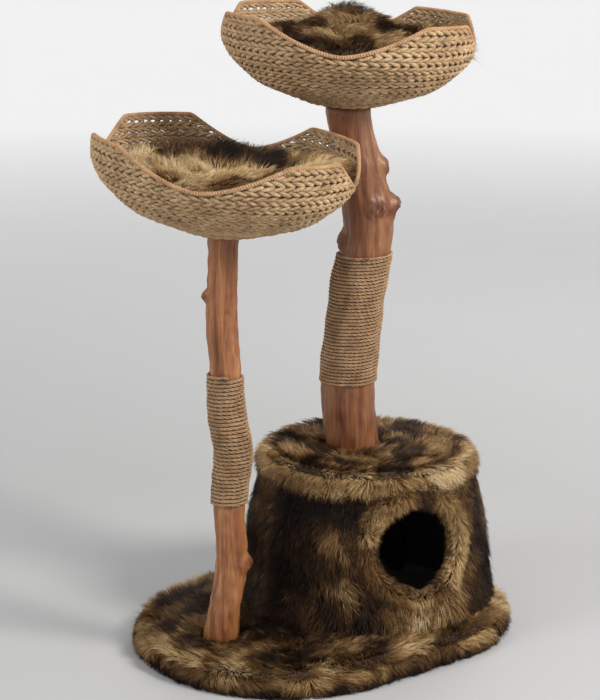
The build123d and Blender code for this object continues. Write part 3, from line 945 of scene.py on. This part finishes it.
def grow_fur(name, body, slot, roots, normals, comb, length, tone, tip_tone, seed, lift=0.35):
    """Curved tapering hairs from roots on a skin, gathered in locks, as closed three-sided meshes.

    comb is the way the hairs lie, lift how far they stand off it, tone each hair's shade from
    0 to 1, and tip_tone what is added to it towards the tip."""
    rng = np.random.default_rng(seed)
    n = len(roots)
    normals = unit(normals)
    comb = comb - normals * np.sum(comb * normals, axis=1, keepdims=True)
    comb = unit(comb + 1e-6)
    across = np.cross(normals, comb)
    comb = unit(comb + across * rng.normal(0, 0.34, (n, 1)))
    length = length * rng.uniform(0.70, 1.18, n)
    rise = np.clip(lift + rng.normal(0, 0.16, n), 0.05, 1.4)[:, None]
    points = [roots]
    for part in (0.15, 0.5, 0.85):
        way = unit(normals * (rise + 0.9 * (1 - part) ** 2) + comb * (0.35 + part))
        points.append(points[-1] + way * (length / 3)[:, None])
    tips = points[-1]
    spacing = 0.011
    keep = rng.random(n) < min(1, 700 / max(n, 1) + 0.03)
    seeds = np.flatnonzero(keep)
    locks = KDTree(len(seeds))
    for i, k in enumerate(seeds):
        locks.insert(roots[k], i)
    locks.balance()
    own = np.array([seeds[locks.find(root)[1]] for root in roots])
    near = np.linalg.norm(roots - roots[own], axis=1)
    pull = (np.clip(1 - near / (2.2 * spacing), 0, 1) * rng.choice([0.62, 0.62, 0.62, 0.1], n))[:, None]
    shift = (tips[own] - tips) * pull
    points[3] = tips + shift
    points[2] = points[2] + shift * 0.5
    points[1] = points[1] + shift * 0.12
    for p in points:
        p[:, 2] = np.maximum(p[:, 2], 0.6 * MM)
    way = unit(points[3] - points[0])
    side = unit(np.cross(way, normals) + 1e-6)
    up = np.cross(side, way)
    girth = HAIR_R * rng.uniform(0.8, 1.25, n)
    levels = []
    for p, taper in zip(points[:3], (1.0, 0.85, 0.6)):
        for k in range(3):
            a = 2 * pi * k / 3 + 0.5
            levels.append(p + (side * cos(a) + up * sin(a)) * (girth * taper)[:, None])
    levels.append(points[3])
    verts = np.stack(levels, axis=1)
    quads, quad_level = [], []
    for level in range(2):
        for k in range(3):
            k2 = (k + 1) % 3
            quads.append((level * 3 + k, level * 3 + k2, level * 3 + 3 + k2, level * 3 + 3 + k))
            quad_level.append(level)
    tris = [(6, 7, 9), (7, 8, 9), (8, 6, 9), (2, 1, 0)]
    tone = np.clip(tone + rng.normal(0, 0.07, n), 0, 1)
    tips_tone = np.clip(tone + tip_tone + rng.normal(0, 0.05, n), 0, 1)
    shades = np.stack([tone * 0.80, tone, tips_tone], axis=1)
    shades = np.clip(np.round(shades * (HAIR_COUNT - 1)), 0, HAIR_COUNT - 1).astype(int)
    quad_level = np.array(quad_level)
    pieces = []
    for part in range(ceil(n / HAIRS_PER_PIECE)):
        rows = slice(part * HAIRS_PER_PIECE, (part + 1) * HAIRS_PER_PIECE)
        some = verts[rows]
        base = (np.arange(len(some)) * 10)[:, None, None]
        q = (np.array(quads)[None] + base).reshape(-1, 4)
        t = (np.array(tris)[None] + base).reshape(-1, 3)
        quad_shade = shades[rows][:, quad_level].reshape(-1)
        tri_shade = shades[rows][:, [2, 2, 2, 0]].reshape(-1)
        index = np.concatenate([quad_shade, tri_shade])
        obj = build_mesh(f"{name}_{part + 1:02d}", some.reshape(-1, 3), [q, t], HAIRS, index)
        pieces.append(settle(obj, body, slot))
    return pieces


def marking(points, size, seed, low, high):
    """Blotches between two tones, with soft but definite edges."""
    part = np.clip(ripple(points, size, seed) * 1.5 + 0.5, 0, 1)
    return low + (high - low) * part * part * (3 - 2 * part)


def add_spots(tone, roots, spots):
    """Lighter or darker places added to the coat's tone, some of them painted shadow: centre, radius and
    how much is added to the tone.
    """
    for centre, radius, change in spots:
        away = np.linalg.norm(roots - np.array(centre), axis=1) / radius
        tone = tone + change * np.exp(-(away**2))
    return tone


def scatter(low, high, accept, count, rng):
    """Random points in a flat box that pass a test."""
    found = []
    total = 0
    while total < count:
        points = rng.uniform(low, high, (count, 2))
        points = points[accept(points)]
        found.append(points)
        total += len(points)
    return np.concatenate(found)[:count]


HUT = middle("house_wall")
HUT_LOW, HUT_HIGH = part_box("house_wall")
WALL_FOOT_R = (HUT_HIGH.x - HUT_LOW.x) / 2
WALL_HEAD_R = (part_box("house_top_board")[1].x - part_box("house_top_board")[0].x) / 2
WALL_TOP = HUT_HIGH.z
BOARD_TOP = HUT_LOW.z
LID_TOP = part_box("house_top_board")[1].z
HOLE_HEADING = radians(-103)
HOLE_Z = 203 * MM
HOLE_R = 84 * MM
WALL_SLOPE = (WALL_FOOT_R - WALL_HEAD_R) / (WALL_TOP - BOARD_TOP)
FRONT_FOOT = middle("front_post_bolt")
BACK_FOOT = middle("back_post_bolt")


class Oval:
    """The base's plan outline, read from its CAD fur cover, as radii round its middle."""

    def __init__(self, node, z):
        hull = hull_of(frame["nodes"][node])
        self.count = 720
        self.angles = around_circle(self.count)
        radii = []
        for a in self.angles:
            way = Vector((cos(a), sin(a), 0))
            radii.append((hull.ray_cast(way * 0.8 + Vector((0, 0, z)), -way)[0]).xy.length)
        self.radii = np.array(radii)
        line = np.column_stack([self.radii * np.cos(self.angles), self.radii * np.sin(self.angles)])
        along = unit(np.roll(line, -1, 0) - np.roll(line, 1, 0))
        self.line = line
        self.out = np.column_stack([along[:, 1], -along[:, 0]])
        self.run = np.concatenate([[0], np.cumsum(np.linalg.norm(np.diff(line, axis=0), axis=1))])

    def radius(self, angle):
        return np.interp(angle % (2 * pi), self.angles, self.radii, period=2 * pi)

    def inside(self, points, inset):
        radius = np.linalg.norm(points, axis=1)
        return radius < self.radius(np.arctan2(points[:, 1], points[:, 0])) - inset

    def normal(self, angle):
        x = np.interp(angle % (2 * pi), self.angles, self.out[:, 0], period=2 * pi)
        y = np.interp(angle % (2 * pi), self.angles, self.out[:, 1], period=2 * pi)
        return unit(np.column_stack([x, y]))


BASE_SPOTS_AND_SHADOW = [
    # painted shadow: this first, darkest place is the hut's shadow on the base's fur
    ((-0.121, -0.091, 0.036), 0.050, -0.35),
    ((-0.254, 0.160, 0.036), 0.050, -0.25),
    ((-0.160, -0.030, 0.036), 0.040, -0.25),
    ((-0.270, -0.090, 0.036), 0.050, 0.25),
    ((0.238, -0.184, 0.036), 0.060, 0.20),
]
HUT_SPOTS = [
    ((-0.056, -0.113, 0.230), 0.026, 0.42),
    ((-0.063, -0.123, 0.142), 0.022, 0.42),
    ((0.023, -0.202, 0.090), 0.055, 0.34),
    ((0.082, -0.216, 0.103), 0.050, 0.30),
    ((-0.005, -0.165, 0.224), 0.035, 0.30),
    ((0.172, -0.203, 0.157), 0.030, 0.30),
    ((-0.044, -0.110, 0.306), 0.045, -0.30),
    ((-0.079, -0.037, 0.296), 0.050, -0.30),
    ((0.256, -0.154, 0.163), 0.050, -0.35),
    ((-0.090, 0.064, 0.178), 0.070, -0.30),
    ((-0.110, -0.047, 0.050), 0.070, -0.40),
    ((-0.040, -0.160, 0.060), 0.045, -0.25),
]


def make_base_fur():
    oval = Oval("base_fur_cover", 12 * MM)
    # skin: rings from the hem up over a rolled edge and in across the top
    profile = [(30, 0.8), (12, 0.8), (6, 3), (3, 9), (2.5, 16), (4, 24), (8, 31), (15, 36), (26, 38)]
    rings = []
    for inset, z in profile:
        rings.append((inset * MM, z * MM))
    for inset in np.linspace(36, 250, 24):
        rings.append((inset * MM, 37 * MM))
    verts = []
    for inset, z in rings:
        line = oval.line - oval.out * min(inset, 0.06)
        if inset > 0.06:
            line = line * (1 - (inset - 0.06) / 0.2)
        verts.append(at_height(line, z))
    verts = np.concatenate(verts)
    bulge = ripple(verts, 0.06, 91) * 1.6 * MM
    verts[:, 2] = np.maximum(verts[:, 2] + bulge * (verts[:, 2] > 6 * MM), 0.8 * MM)
    faces = [ring_quads(len(rings), oval.count), end_caps(len(rings), oval.count)]
    skin = build_mesh("base_fur_skin", verts, faces, [FUR_SKIN])
    settle(skin, "root", "long_fur", "base_fur_cover")

    rng = np.random.default_rng(501)
    hut = np.array(HUT.xy)
    post = np.array(FRONT_FOOT.xy)

    def open_top(points):
        clear = np.linalg.norm(points - hut, axis=1) > WALL_FOOT_R + 6 * MM
        clear &= np.linalg.norm(points - post, axis=1) > 33 * MM
        return clear & oval.inside(points, 10 * MM)

    count = BASE_TOP_HAIRS
    flat = scatter((-0.36, -0.28), (0.36, 0.28), open_top, count, rng)
    angle = np.arctan2(flat[:, 1], flat[:, 0])
    edge = oval.radius(angle) - np.linalg.norm(flat, axis=1)
    z = np.where(edge < 0.03, 33 * MM - (0.03 - edge) * 0.25, 36 * MM)
    roots = np.column_stack([flat, z])
    out = at_height(oval.normal(angle))
    up = np.tile((0.0, 0.0, 1.0), (count, 1))
    lean = np.clip(1 - edge / 0.03, 0, 1)[:, None]
    normals = unit(up * (1 - 0.6 * lean) + out * 0.6 * lean)
    swirl = ripple(roots, 0.15, 71)[:, None]
    comb = out + sideways(out) * swirl * 1.4
    tone = marking(roots, 0.13, 61, 0.26, 0.60) + 0.10 * ripple(roots, 0.03, 60)
    tone += 0.24 * bell(edge, 0.022, 0.016)
    tone = add_spots(tone, roots, BASE_SPOTS_AND_SHADOW)
    dark_tip = -0.30 * (ripple(roots, 0.05, 62) > 0.1) * (edge > 0.04) - 0.03
    grow_fur("base_top_fur", "root", "long_fur", roots, normals, comb, 33 * MM, tone, dark_tip, 511, 0.46)

    count = BASE_EDGE_HAIRS
    place = rng.uniform(0, 2 * pi, count * 2)
    weight = oval.radius(place)
    place = place[rng.random(count * 2) < weight / weight.max()][:count]
    count = len(place)
    z = rng.uniform(3, 33, count) * MM
    radius = oval.radius(place)
    out = at_height(oval.normal(place))
    inset = np.interp(z, np.array([0, 9, 16, 24, 33]) * MM, np.array([11, 8, 7, 8, 11]) * MM)
    roots = np.column_stack([radius * np.cos(place), radius * np.sin(place), z]) - out * inset[:, None]
    normals = unit(out + at_height(np.zeros((count, 2)), (z - 14 * MM) / 0.03) * 0.7)
    swirl = ripple(roots, 0.12, 72)[:, None]
    comb = np.tile((0.0, 0.0, -0.7), (count, 1)) + out * 0.55
    comb += sideways(out) * (swirl * 1.6 + 0.35)
    tone = marking(roots, 0.12, 63, 0.10, 0.42) + 0.34 * np.clip((z - 15 * MM) / 0.010, 0, 1)
    dark_tip = np.where(z < 18 * MM, -0.25, -0.06)
    grow_fur("base_edge_fur", "root", "long_fur", roots, normals, comb, 33 * MM, tone, dark_tip, 512, 0.40)


FAR = 9.0


def wall_radius(z):
    return WALL_FOOT_R - WALL_SLOPE * (z - BOARD_TOP)


def hole_distance(points):
    """Distance of points from the entry hole's axis, and a far one on the hut's other side."""
    axis = np.array([cos(HOLE_HEADING), sin(HOLE_HEADING), 0])
    origin = np.array([HUT.x, HUT.y, HOLE_Z])
    rel = points - origin
    along = rel @ axis
    away = np.linalg.norm(rel - along[:, None] * axis, axis=1)
    return np.where(along > 0, away, FAR)


def make_hut_wall_fur():
    sides, rows = 220, 46
    way = plan_way(around_circle(sides))
    grid = []
    for z in np.linspace(BOARD_TOP + 1 * MM, LID_TOP + 1 * MM, rows):
        grid.append(at_height(np.array(HUT.xy) + (wall_radius(z) + 7 * MM) * way, z))
    verts = np.concatenate(grid)
    out = np.tile(at_height(way), (rows, 1))
    verts = verts + out * (ripple(verts, 0.09, 95) * 2 * MM)[:, None]
    quads = ring_quads(rows, sides)
    centres = verts[quads].mean(axis=1)
    quads = quads[hole_distance(centres) > HOLE_R + 9 * MM]
    skin = build_mesh("hut_wall_skin", verts, [quads], [FUR_SKIN])
    thicken = skin.modifiers.new("cloth", "SOLIDIFY")
    thicken.thickness = 3 * MM
    thicken.offset = -1
    apply_modifiers(skin)
    settle(skin, "root", "long_fur", "house_wall_fur")

    rng = np.random.default_rng(502)
    count = HUT_WALL_HAIRS
    angle = rng.uniform(0, 2 * pi, count)
    z = rng.uniform(BOARD_TOP + 4 * MM, LID_TOP - 2 * MM, count)
    radius = wall_radius(z) + 6.5 * MM
    flat = plan_way(angle)
    roots = np.column_stack([np.array(HUT.xy) + flat * radius[:, None], z])
    keep = hole_distance(roots) > HOLE_R + 12 * MM
    roots, flat, z = roots[keep], flat[keep], z[keep]
    count = len(roots)
    normals = at_height(flat, WALL_SLOPE)
    swirl = ripple(roots, 0.16, 73)[:, None] * 0.75
    comb = np.tile((0.0, 0.0, -1.0), (count, 1)) + sideways(flat) * swirl
    stretched = roots * np.array([1, 1, 0.55])
    height = (z - BOARD_TOP) / (LID_TOP - BOARD_TOP)
    tone = marking(stretched, 0.16, 64, 0.26, 0.52) + 0.09 * ripple(roots, 0.025, 65)
    # the wall fur lightens towards its top, and painted shadow darkens a band just under the top's roll
    tone += 0.25 * np.clip((height - 0.93) / 0.06, 0, 1) - 0.14 * bell(height, 0.84, 0.06)
    tone = add_spots(tone, roots, HUT_SPOTS)
    dark_tip = -0.26 * (ripple(stretched, 0.06, 66) > 0.1) - 0.02
    flat_part = np.clip((height - 0.72) / 0.2, 0, 1)
    length = (40 - 14 * flat_part) * MM
    lift = 0.36 - 0.20 * flat_part
    grow_fur("hut_wall_fur", "root", "long_fur", roots, normals, comb, length, tone, dark_tip, 513, lift)


# Radius and height over the lid of the top's cover, in mm: flat, seam, roll and hem
HUT_TOP_PROFILE = [
    (0.0, 7), (60, 7), (110, 7.5), (145, 8.5), (158, 8), (164, 7),
    (170, 10), (177, 10.5), (184, 7), (188, 0), (190, -8), (190, -16),
]


def make_hut_top_fur():
    sides = 160
    profile = HUT_TOP_PROFILE
    way = plan_way(around_circle(sides))
    rings = []
    for r, z in profile[1:]:
        rings.append(at_height(np.array(HUT.xy) + r * MM * way, LID_TOP + z * MM))
    verts = np.concatenate(rings)
    verts[:, 2] += ripple(verts, 0.07, 96) * 1.5 * MM
    faces = [ring_quads(len(rings), sides)[:, TURN_OVER], end_caps(len(rings), sides)[:, ::-1]]
    skin = build_mesh("hut_top_skin", verts, faces, [FUR_SKIN])
    settle(skin, "root", "long_fur", "house_top_fur")

    rng = np.random.default_rng(503)
    post = np.array(BACK_FOOT.xy)
    hut = np.array(HUT.xy)

    def open_top(points):
        clear = np.linalg.norm(points - post, axis=1) > 53 * MM
        return clear & (np.linalg.norm(points - hut, axis=1) < 183 * MM)

    count = HUT_TOP_HAIRS
    flat = scatter(tuple(hut - 0.2), tuple(hut + 0.2), open_top, count, rng)
    rel = flat - hut
    radius = np.linalg.norm(rel, axis=1)
    out = at_height(rel / radius[:, None])
    profile_r, profile_z = np.array(profile).T * MM
    z = np.interp(radius, profile_r, profile_z)
    roots = np.column_stack([flat, LID_TOP + z - 0.5 * MM])
    lean = np.clip((radius - 0.158) / 0.025, 0, 1)[:, None]
    normals = unit(np.tile((0.0, 0.0, 1.0), (count, 1)) + out * lean * 0.8)
    swirl = ripple(roots, 0.12, 74)[:, None]
    comb = out * (0.4 + lean) + sideways(out) * (0.4 + swirl)
    seam = bell(radius, 0.163, 0.006)
    tone = marking(roots, 0.12, 67, 0.28, 0.66) + 0.26 * lean[:, 0] - 0.30 * seam
    dark_tip = -0.24 * (ripple(roots, 0.05, 68) > 0.1) * (1 - lean[:, 0])
    grow_fur("hut_top_fur", "root", "long_fur", roots, normals, comb, 28 * MM, tone, dark_tip, 514, 0.46)

    count = HUT_ROLL_HAIRS
    angle = rng.uniform(0, 2 * pi, count)
    z = rng.uniform(-14, 6, count) * MM
    flat = plan_way(angle)
    shoulder = np.interp(z, np.array([-16, -8, 0, 7, 10]) * MM, np.array([190, 190, 188, 184, 178]) * MM)
    roots = np.column_stack([hut + flat * (shoulder - 1 * MM)[:, None], LID_TOP + z])
    normals = np.column_stack([flat, np.clip((z + 6 * MM) / 0.012, 0, 1)])
    comb = at_height(flat * 0.3, -1.0) + sideways(flat) * ripple(roots, 0.1, 75)[:, None] * 1.1
    tone = marking(roots, 0.15, 69, 0.66, 0.94)
    dark_tip = -0.34 * (z < -4 * MM)
    grow_fur("hut_roll_fur", "root", "long_fur", roots, normals, comb, 34 * MM, tone, dark_tip, 515, 0.34)


def apply_modifiers(obj):
    """The object keeps its modified mesh, with no modifier left on it."""
    depsgraph = bpy.context.evaluated_depsgraph_get()
    mesh = bpy.data.meshes.new_from_object(obj.evaluated_get(depsgraph))
    old = obj.data
    obj.modifiers.clear()
    obj.data = mesh
    bpy.data.meshes.remove(old)


def make_entry_fur():
    """The fur ring round the entry hole: a soft roll that follows the wall, with hair outwards."""
    axis = np.array([cos(HOLE_HEADING), sin(HOLE_HEADING), 0.0])
    right = np.array([-axis[1], axis[0], 0.0])
    up = np.array([0.0, 0.0, 1.0])
    centre = np.array([HUT.x, HUT.y, HOLE_Z])
    hut = np.array([HUT.x, HUT.y])
    sides, section = 120, 16
    profile = []
    for k in range(section):
        a = 2 * pi * k / section
        profile.append((HOLE_R + 11 * MM + 10 * MM * cos(a), 9 * MM * sin(a) + 8 * MM))
    verts = []
    for i in range(sides):
        t = 2 * pi * i / sides
        for radial, stand in profile:
            p = centre + right * radial * cos(t) + up * radial * sin(t)
            wall = wall_radius(p[2]) + stand
            across = (p[:2] - hut) @ right[:2]
            depth = np.sqrt(max(wall**2 - across**2, 0))
            verts.append([*(hut + right[:2] * across + axis[:2] * depth), p[2]])
    verts = np.array(verts)
    quads = ring_quads(sides, section, True)[:, TURN_OVER]
    ring = build_mesh("entry_fur_ring", verts, [quads], [FUR_SKIN])
    settle(ring, "root", "long_fur", "entry_hole_trim")

    rng = np.random.default_rng(504)
    count = ENTRY_HAIRS
    t = rng.uniform(0, 2 * pi, count)
    turn = rng.uniform(-0.15 * pi, 1.05 * pi, count)
    radial = HOLE_R + 11 * MM + 9.5 * MM * np.cos(turn)
    stand = 8.5 * MM * np.sin(turn) + 8 * MM
    flat = centre + right * (radial * np.cos(t))[:, None] + up * (radial * np.sin(t))[:, None]
    across = (flat[:, :2] - hut) @ right[:2]
    depth = np.sqrt((wall_radius(flat[:, 2]) + stand) ** 2 - across**2)
    roots = np.column_stack([hut + right[:2] * across[:, None] + axis[:2] * depth[:, None], flat[:, 2]])
    spoke = right * np.cos(t)[:, None] + up * np.sin(t)[:, None]
    normals = spoke * np.cos(turn)[:, None] + axis * np.sin(turn)[:, None]
    inward = (turn > 0.62 * pi)[:, None]
    swirl = ripple(roots, 0.08, 79)[:, None]
    twirl = right * -np.sin(t)[:, None] + up * np.cos(t)[:, None]
    comb = np.where(inward, -spoke, 0.25 * spoke) + up * -0.75 + axis * 0.2 + twirl * swirl * 0.6
    tone = marking(roots, 0.12, 78, 0.34, 0.66) - 0.08 * np.sin(t) + 0.10 * np.abs(np.cos(t))
    dark_tip = np.where(inward[:, 0], -0.30, -0.22 * (turn < 0.2 * pi))
    length = np.where(inward[:, 0], 25, 28) * MM
    grow_fur("entry_fur", "root", "long_fur", roots, normals, comb, length, tone, dark_tip, 516, 0.55)


# ---------- cushions ----------
# Height of each cushion's top over the bowl's bottom, at these radii, in mm
PAD_RADII = [0, 105, 175, 215]
PAD_TOPS = {"lower": [84, 94, 104, 98], "upper": [122, 118, 108, 96]}
CLOTH_CAP = 12 * MM
CLOTH_PART = 0.6  # how much of its capped move each point keeps
CLOTH_FRAMES = 20
PAD_R = 0.209
PAD_VOXEL = 6 * MM


def pad_height(bowl, x, y):
    """Height of the cushion's top over the bowl's bottom."""
    r = np.sqrt(x**2 + y**2)
    top = np.interp(r, np.array(PAD_RADII) * MM, np.array(PAD_TOPS[bowl]) * MM)
    place = np.column_stack([x, y, x * 0])
    top = top + 27 * MM * np.clip((x - 0.09) / 0.08, 0, 1) * np.exp(-((y / 0.11) ** 2))
    if bowl == "upper":
        mound = np.exp(-(((x + 0.005) / 0.075) ** 2 + ((y - 0.02) / 0.10) ** 2))
        crease = np.exp(-(((x + 0.085 - 0.3 * y) / 0.018) ** 2))
        return top + 36 * MM * mound - 12 * MM * crease + 5 * MM * ripple(place, 0.12, 32)
    back = np.clip((y - 0.03) / 0.10, 0, 1)
    crease = np.exp(-(((y - 0.05 + 0.2 * x) / 0.018) ** 2))
    return top + 9 * MM * back - 8 * MM * crease + 6 * MM * ripple(place, 0.16, 31)


def make_cushion(bowl):
    """A soft bag that lies in the bowl: remeshed, then swollen by a cloth simulation."""
    sides = 96
    way = plan_way(around_circle(sides))
    under = [(r, 31) for r in (6, 30, 60, 74)]
    line = OUTLINE + OUTLINE_IN * (WEAVE_T + 7 * MM)
    for r in (90, 115, 140, 160, 178, 192, 201):
        under.append((r, np.interp(r * MM, line[:, 0], line[:, 1]) / MM + 2))
    rings = []
    for r, z in under:
        rings.append(at_height(r * MM * way, z * MM))
    for r in (203, 196, 184, 165, 140, 112, 84, 56, 30, 8):
        x, y = (r * MM * way).T
        drop = {203: 8 * MM, 196: 2 * MM}.get(r, 0)
        rings.append(np.column_stack([x, y, pad_height(bowl, x, y) - 5 * MM - drop]))
    verts = np.concatenate(rings)
    faces = [ring_quads(len(rings), sides), end_caps(len(rings), sides)]
    pad = build_mesh(f"{bowl}_cushion", to_world(bowl, verts), faces, [PAD_SKIN])
    remesh = pad.modifiers.new("remesh", "REMESH")
    remesh.mode = "VOXEL"
    remesh.voxel_size = PAD_VOXEL
    apply_modifiers(pad)
    swell(pad)
    pad.data.polygons.foreach_set("use_smooth", [True] * len(pad.data.polygons))
    pad.data.materials.clear()
    pad.data.materials.append(PAD_SKIN)
    settle(pad, f"{bowl}_cushion", "cushion_fur", f"{bowl}_cushion_cover")
    return pad


def swell(pad):
    """Twenty frames of cloth under pressure, each point held within the cap of where it was."""
    before = np.zeros(len(pad.data.vertices) * 3)
    pad.data.vertices.foreach_get("co", before)
    cloth = pad.modifiers.new("cloth", "CLOTH")
    cloth.settings.use_pressure = True
    cloth.settings.uniform_pressure_force = 4
    cloth.settings.effector_weights.gravity = 0
    cloth.settings.quality = 4
    cloth.settings.tension_stiffness = 12
    cloth.settings.bending_stiffness = 0.6
    cloth.collision_settings.use_collision = False
    for number in range(1, CLOTH_FRAMES + 1):
        scene.frame_set(number)
    apply_modifiers(pad)
    after = np.zeros(len(before))
    pad.data.vertices.foreach_get("co", after)
    scene.frame_set(1)
    before, after = before.reshape(-1, 3), after.reshape(-1, 3)
    move = after - before
    size = np.linalg.norm(move, axis=1, keepdims=True)
    move *= np.minimum(1, CLOTH_CAP / np.maximum(size, 1e-9))
    pad.data.vertices.foreach_set("co", (before + move * CLOTH_PART).ravel())
    pad.data.update()


def make_cushion_fur(bowl, pad, count, seed):
    """Long hair over the cushion's top and edge, in its bands of cream and dark brown."""
    origin, bx, by, bz = BOWLS[bowl]
    surface = hull_of(pad)
    rng = np.random.default_rng(seed)
    radius = np.sqrt(rng.uniform(0, 1, count)) * PAD_R
    angle = rng.uniform(0, 2 * pi, count)
    local, normals = [], []
    down = -bz
    for r, a in zip(radius, angle):
        start = origin + bx * (r * cos(a)) + by * (r * sin(a)) + bz * 0.3
        hit, normal, _, _ = surface.ray_cast(start, down)
        if hit is None:
            continue
        local.append(hit)
        normals.append(normal if normal.dot(bz) > 0 else -normal)
    roots = np.array(local) - np.array(bz) * 1 * MM
    normals = np.array(normals)
    axes = np.array([bx, by, bz])
    place = (roots - np.array(origin)) @ axes.T
    out = unit(place * np.array([1, 1, 0]) + 1e-6) @ axes
    swirl = ripple(place, 0.15, seed + 1)[:, None]
    around = np.cross(np.array(bz), out)
    right = np.clip((place[:, 0] - 0.13) / 0.05, 0, 1)
    edge_shade = 0.50 * np.clip((place[:, 0] - 0.165) / 0.02, 0, 1)
    if bowl == "lower":
        comb = out * 0.5 + around * swirl * 0.8 + np.array(CAMERA_RIGHT) * (0.5 + right[:, None])
        cream = 0.82 + 0.12 * ripple(place, 0.08, seed + 2)
        band = np.clip((place[:, 1] - 0.050 + 0.030 * ripple(place, 0.14, seed + 3)) / 0.03, 0, 1)
        back = marking(place * np.array([1, 1.6, 1]), 0.10, seed + 4, 0.06, 0.46)
        tone = cream * (1 - band) + back * band
        streak = np.exp(-(((place[:, 0] - 0.085 - 0.4 * place[:, 1]) / 0.015) ** 2))
        tone -= 0.50 * streak * (place[:, 1] < 0.06)
        tone -= edge_shade
        tip = -0.26 * (band > 0.5) * (ripple(place, 0.05, seed + 5) > 0)
    else:
        comb = out * 0.5 + around * swirl * 0.8 - np.array(CAMERA_AWAY) * 0.4
        comb = comb + np.array(CAMERA_RIGHT) * right[:, None]
        tone = marking(place * np.array([1.3, 0.8, 1]), 0.12, seed + 2, 0.34, 0.82)
        tone += 0.08 * ripple(place, 0.03, seed + 6)
        tone -= edge_shade
        tip = -0.28 * (ripple(place, 0.05, seed + 5) > -0.1)
    lift = 0.45 + 0.25 * right
    length = (36 + 12 * right) * MM
    name = f"{bowl}_cushion"
    grow_fur(f"{name}_fur", name, "cushion_fur", roots, normals, comb, length, tone, tip, seed + 9, lift)


make_base_fur()
make_hut_wall_fur()
make_hut_top_fur()
make_entry_fur()
for bowl_name, fur_seed in (("lower", 900), ("upper", 950)):
    make_cushion_fur(bowl_name, make_cushion(bowl_name), CUSHION_HAIRS, fur_seed)
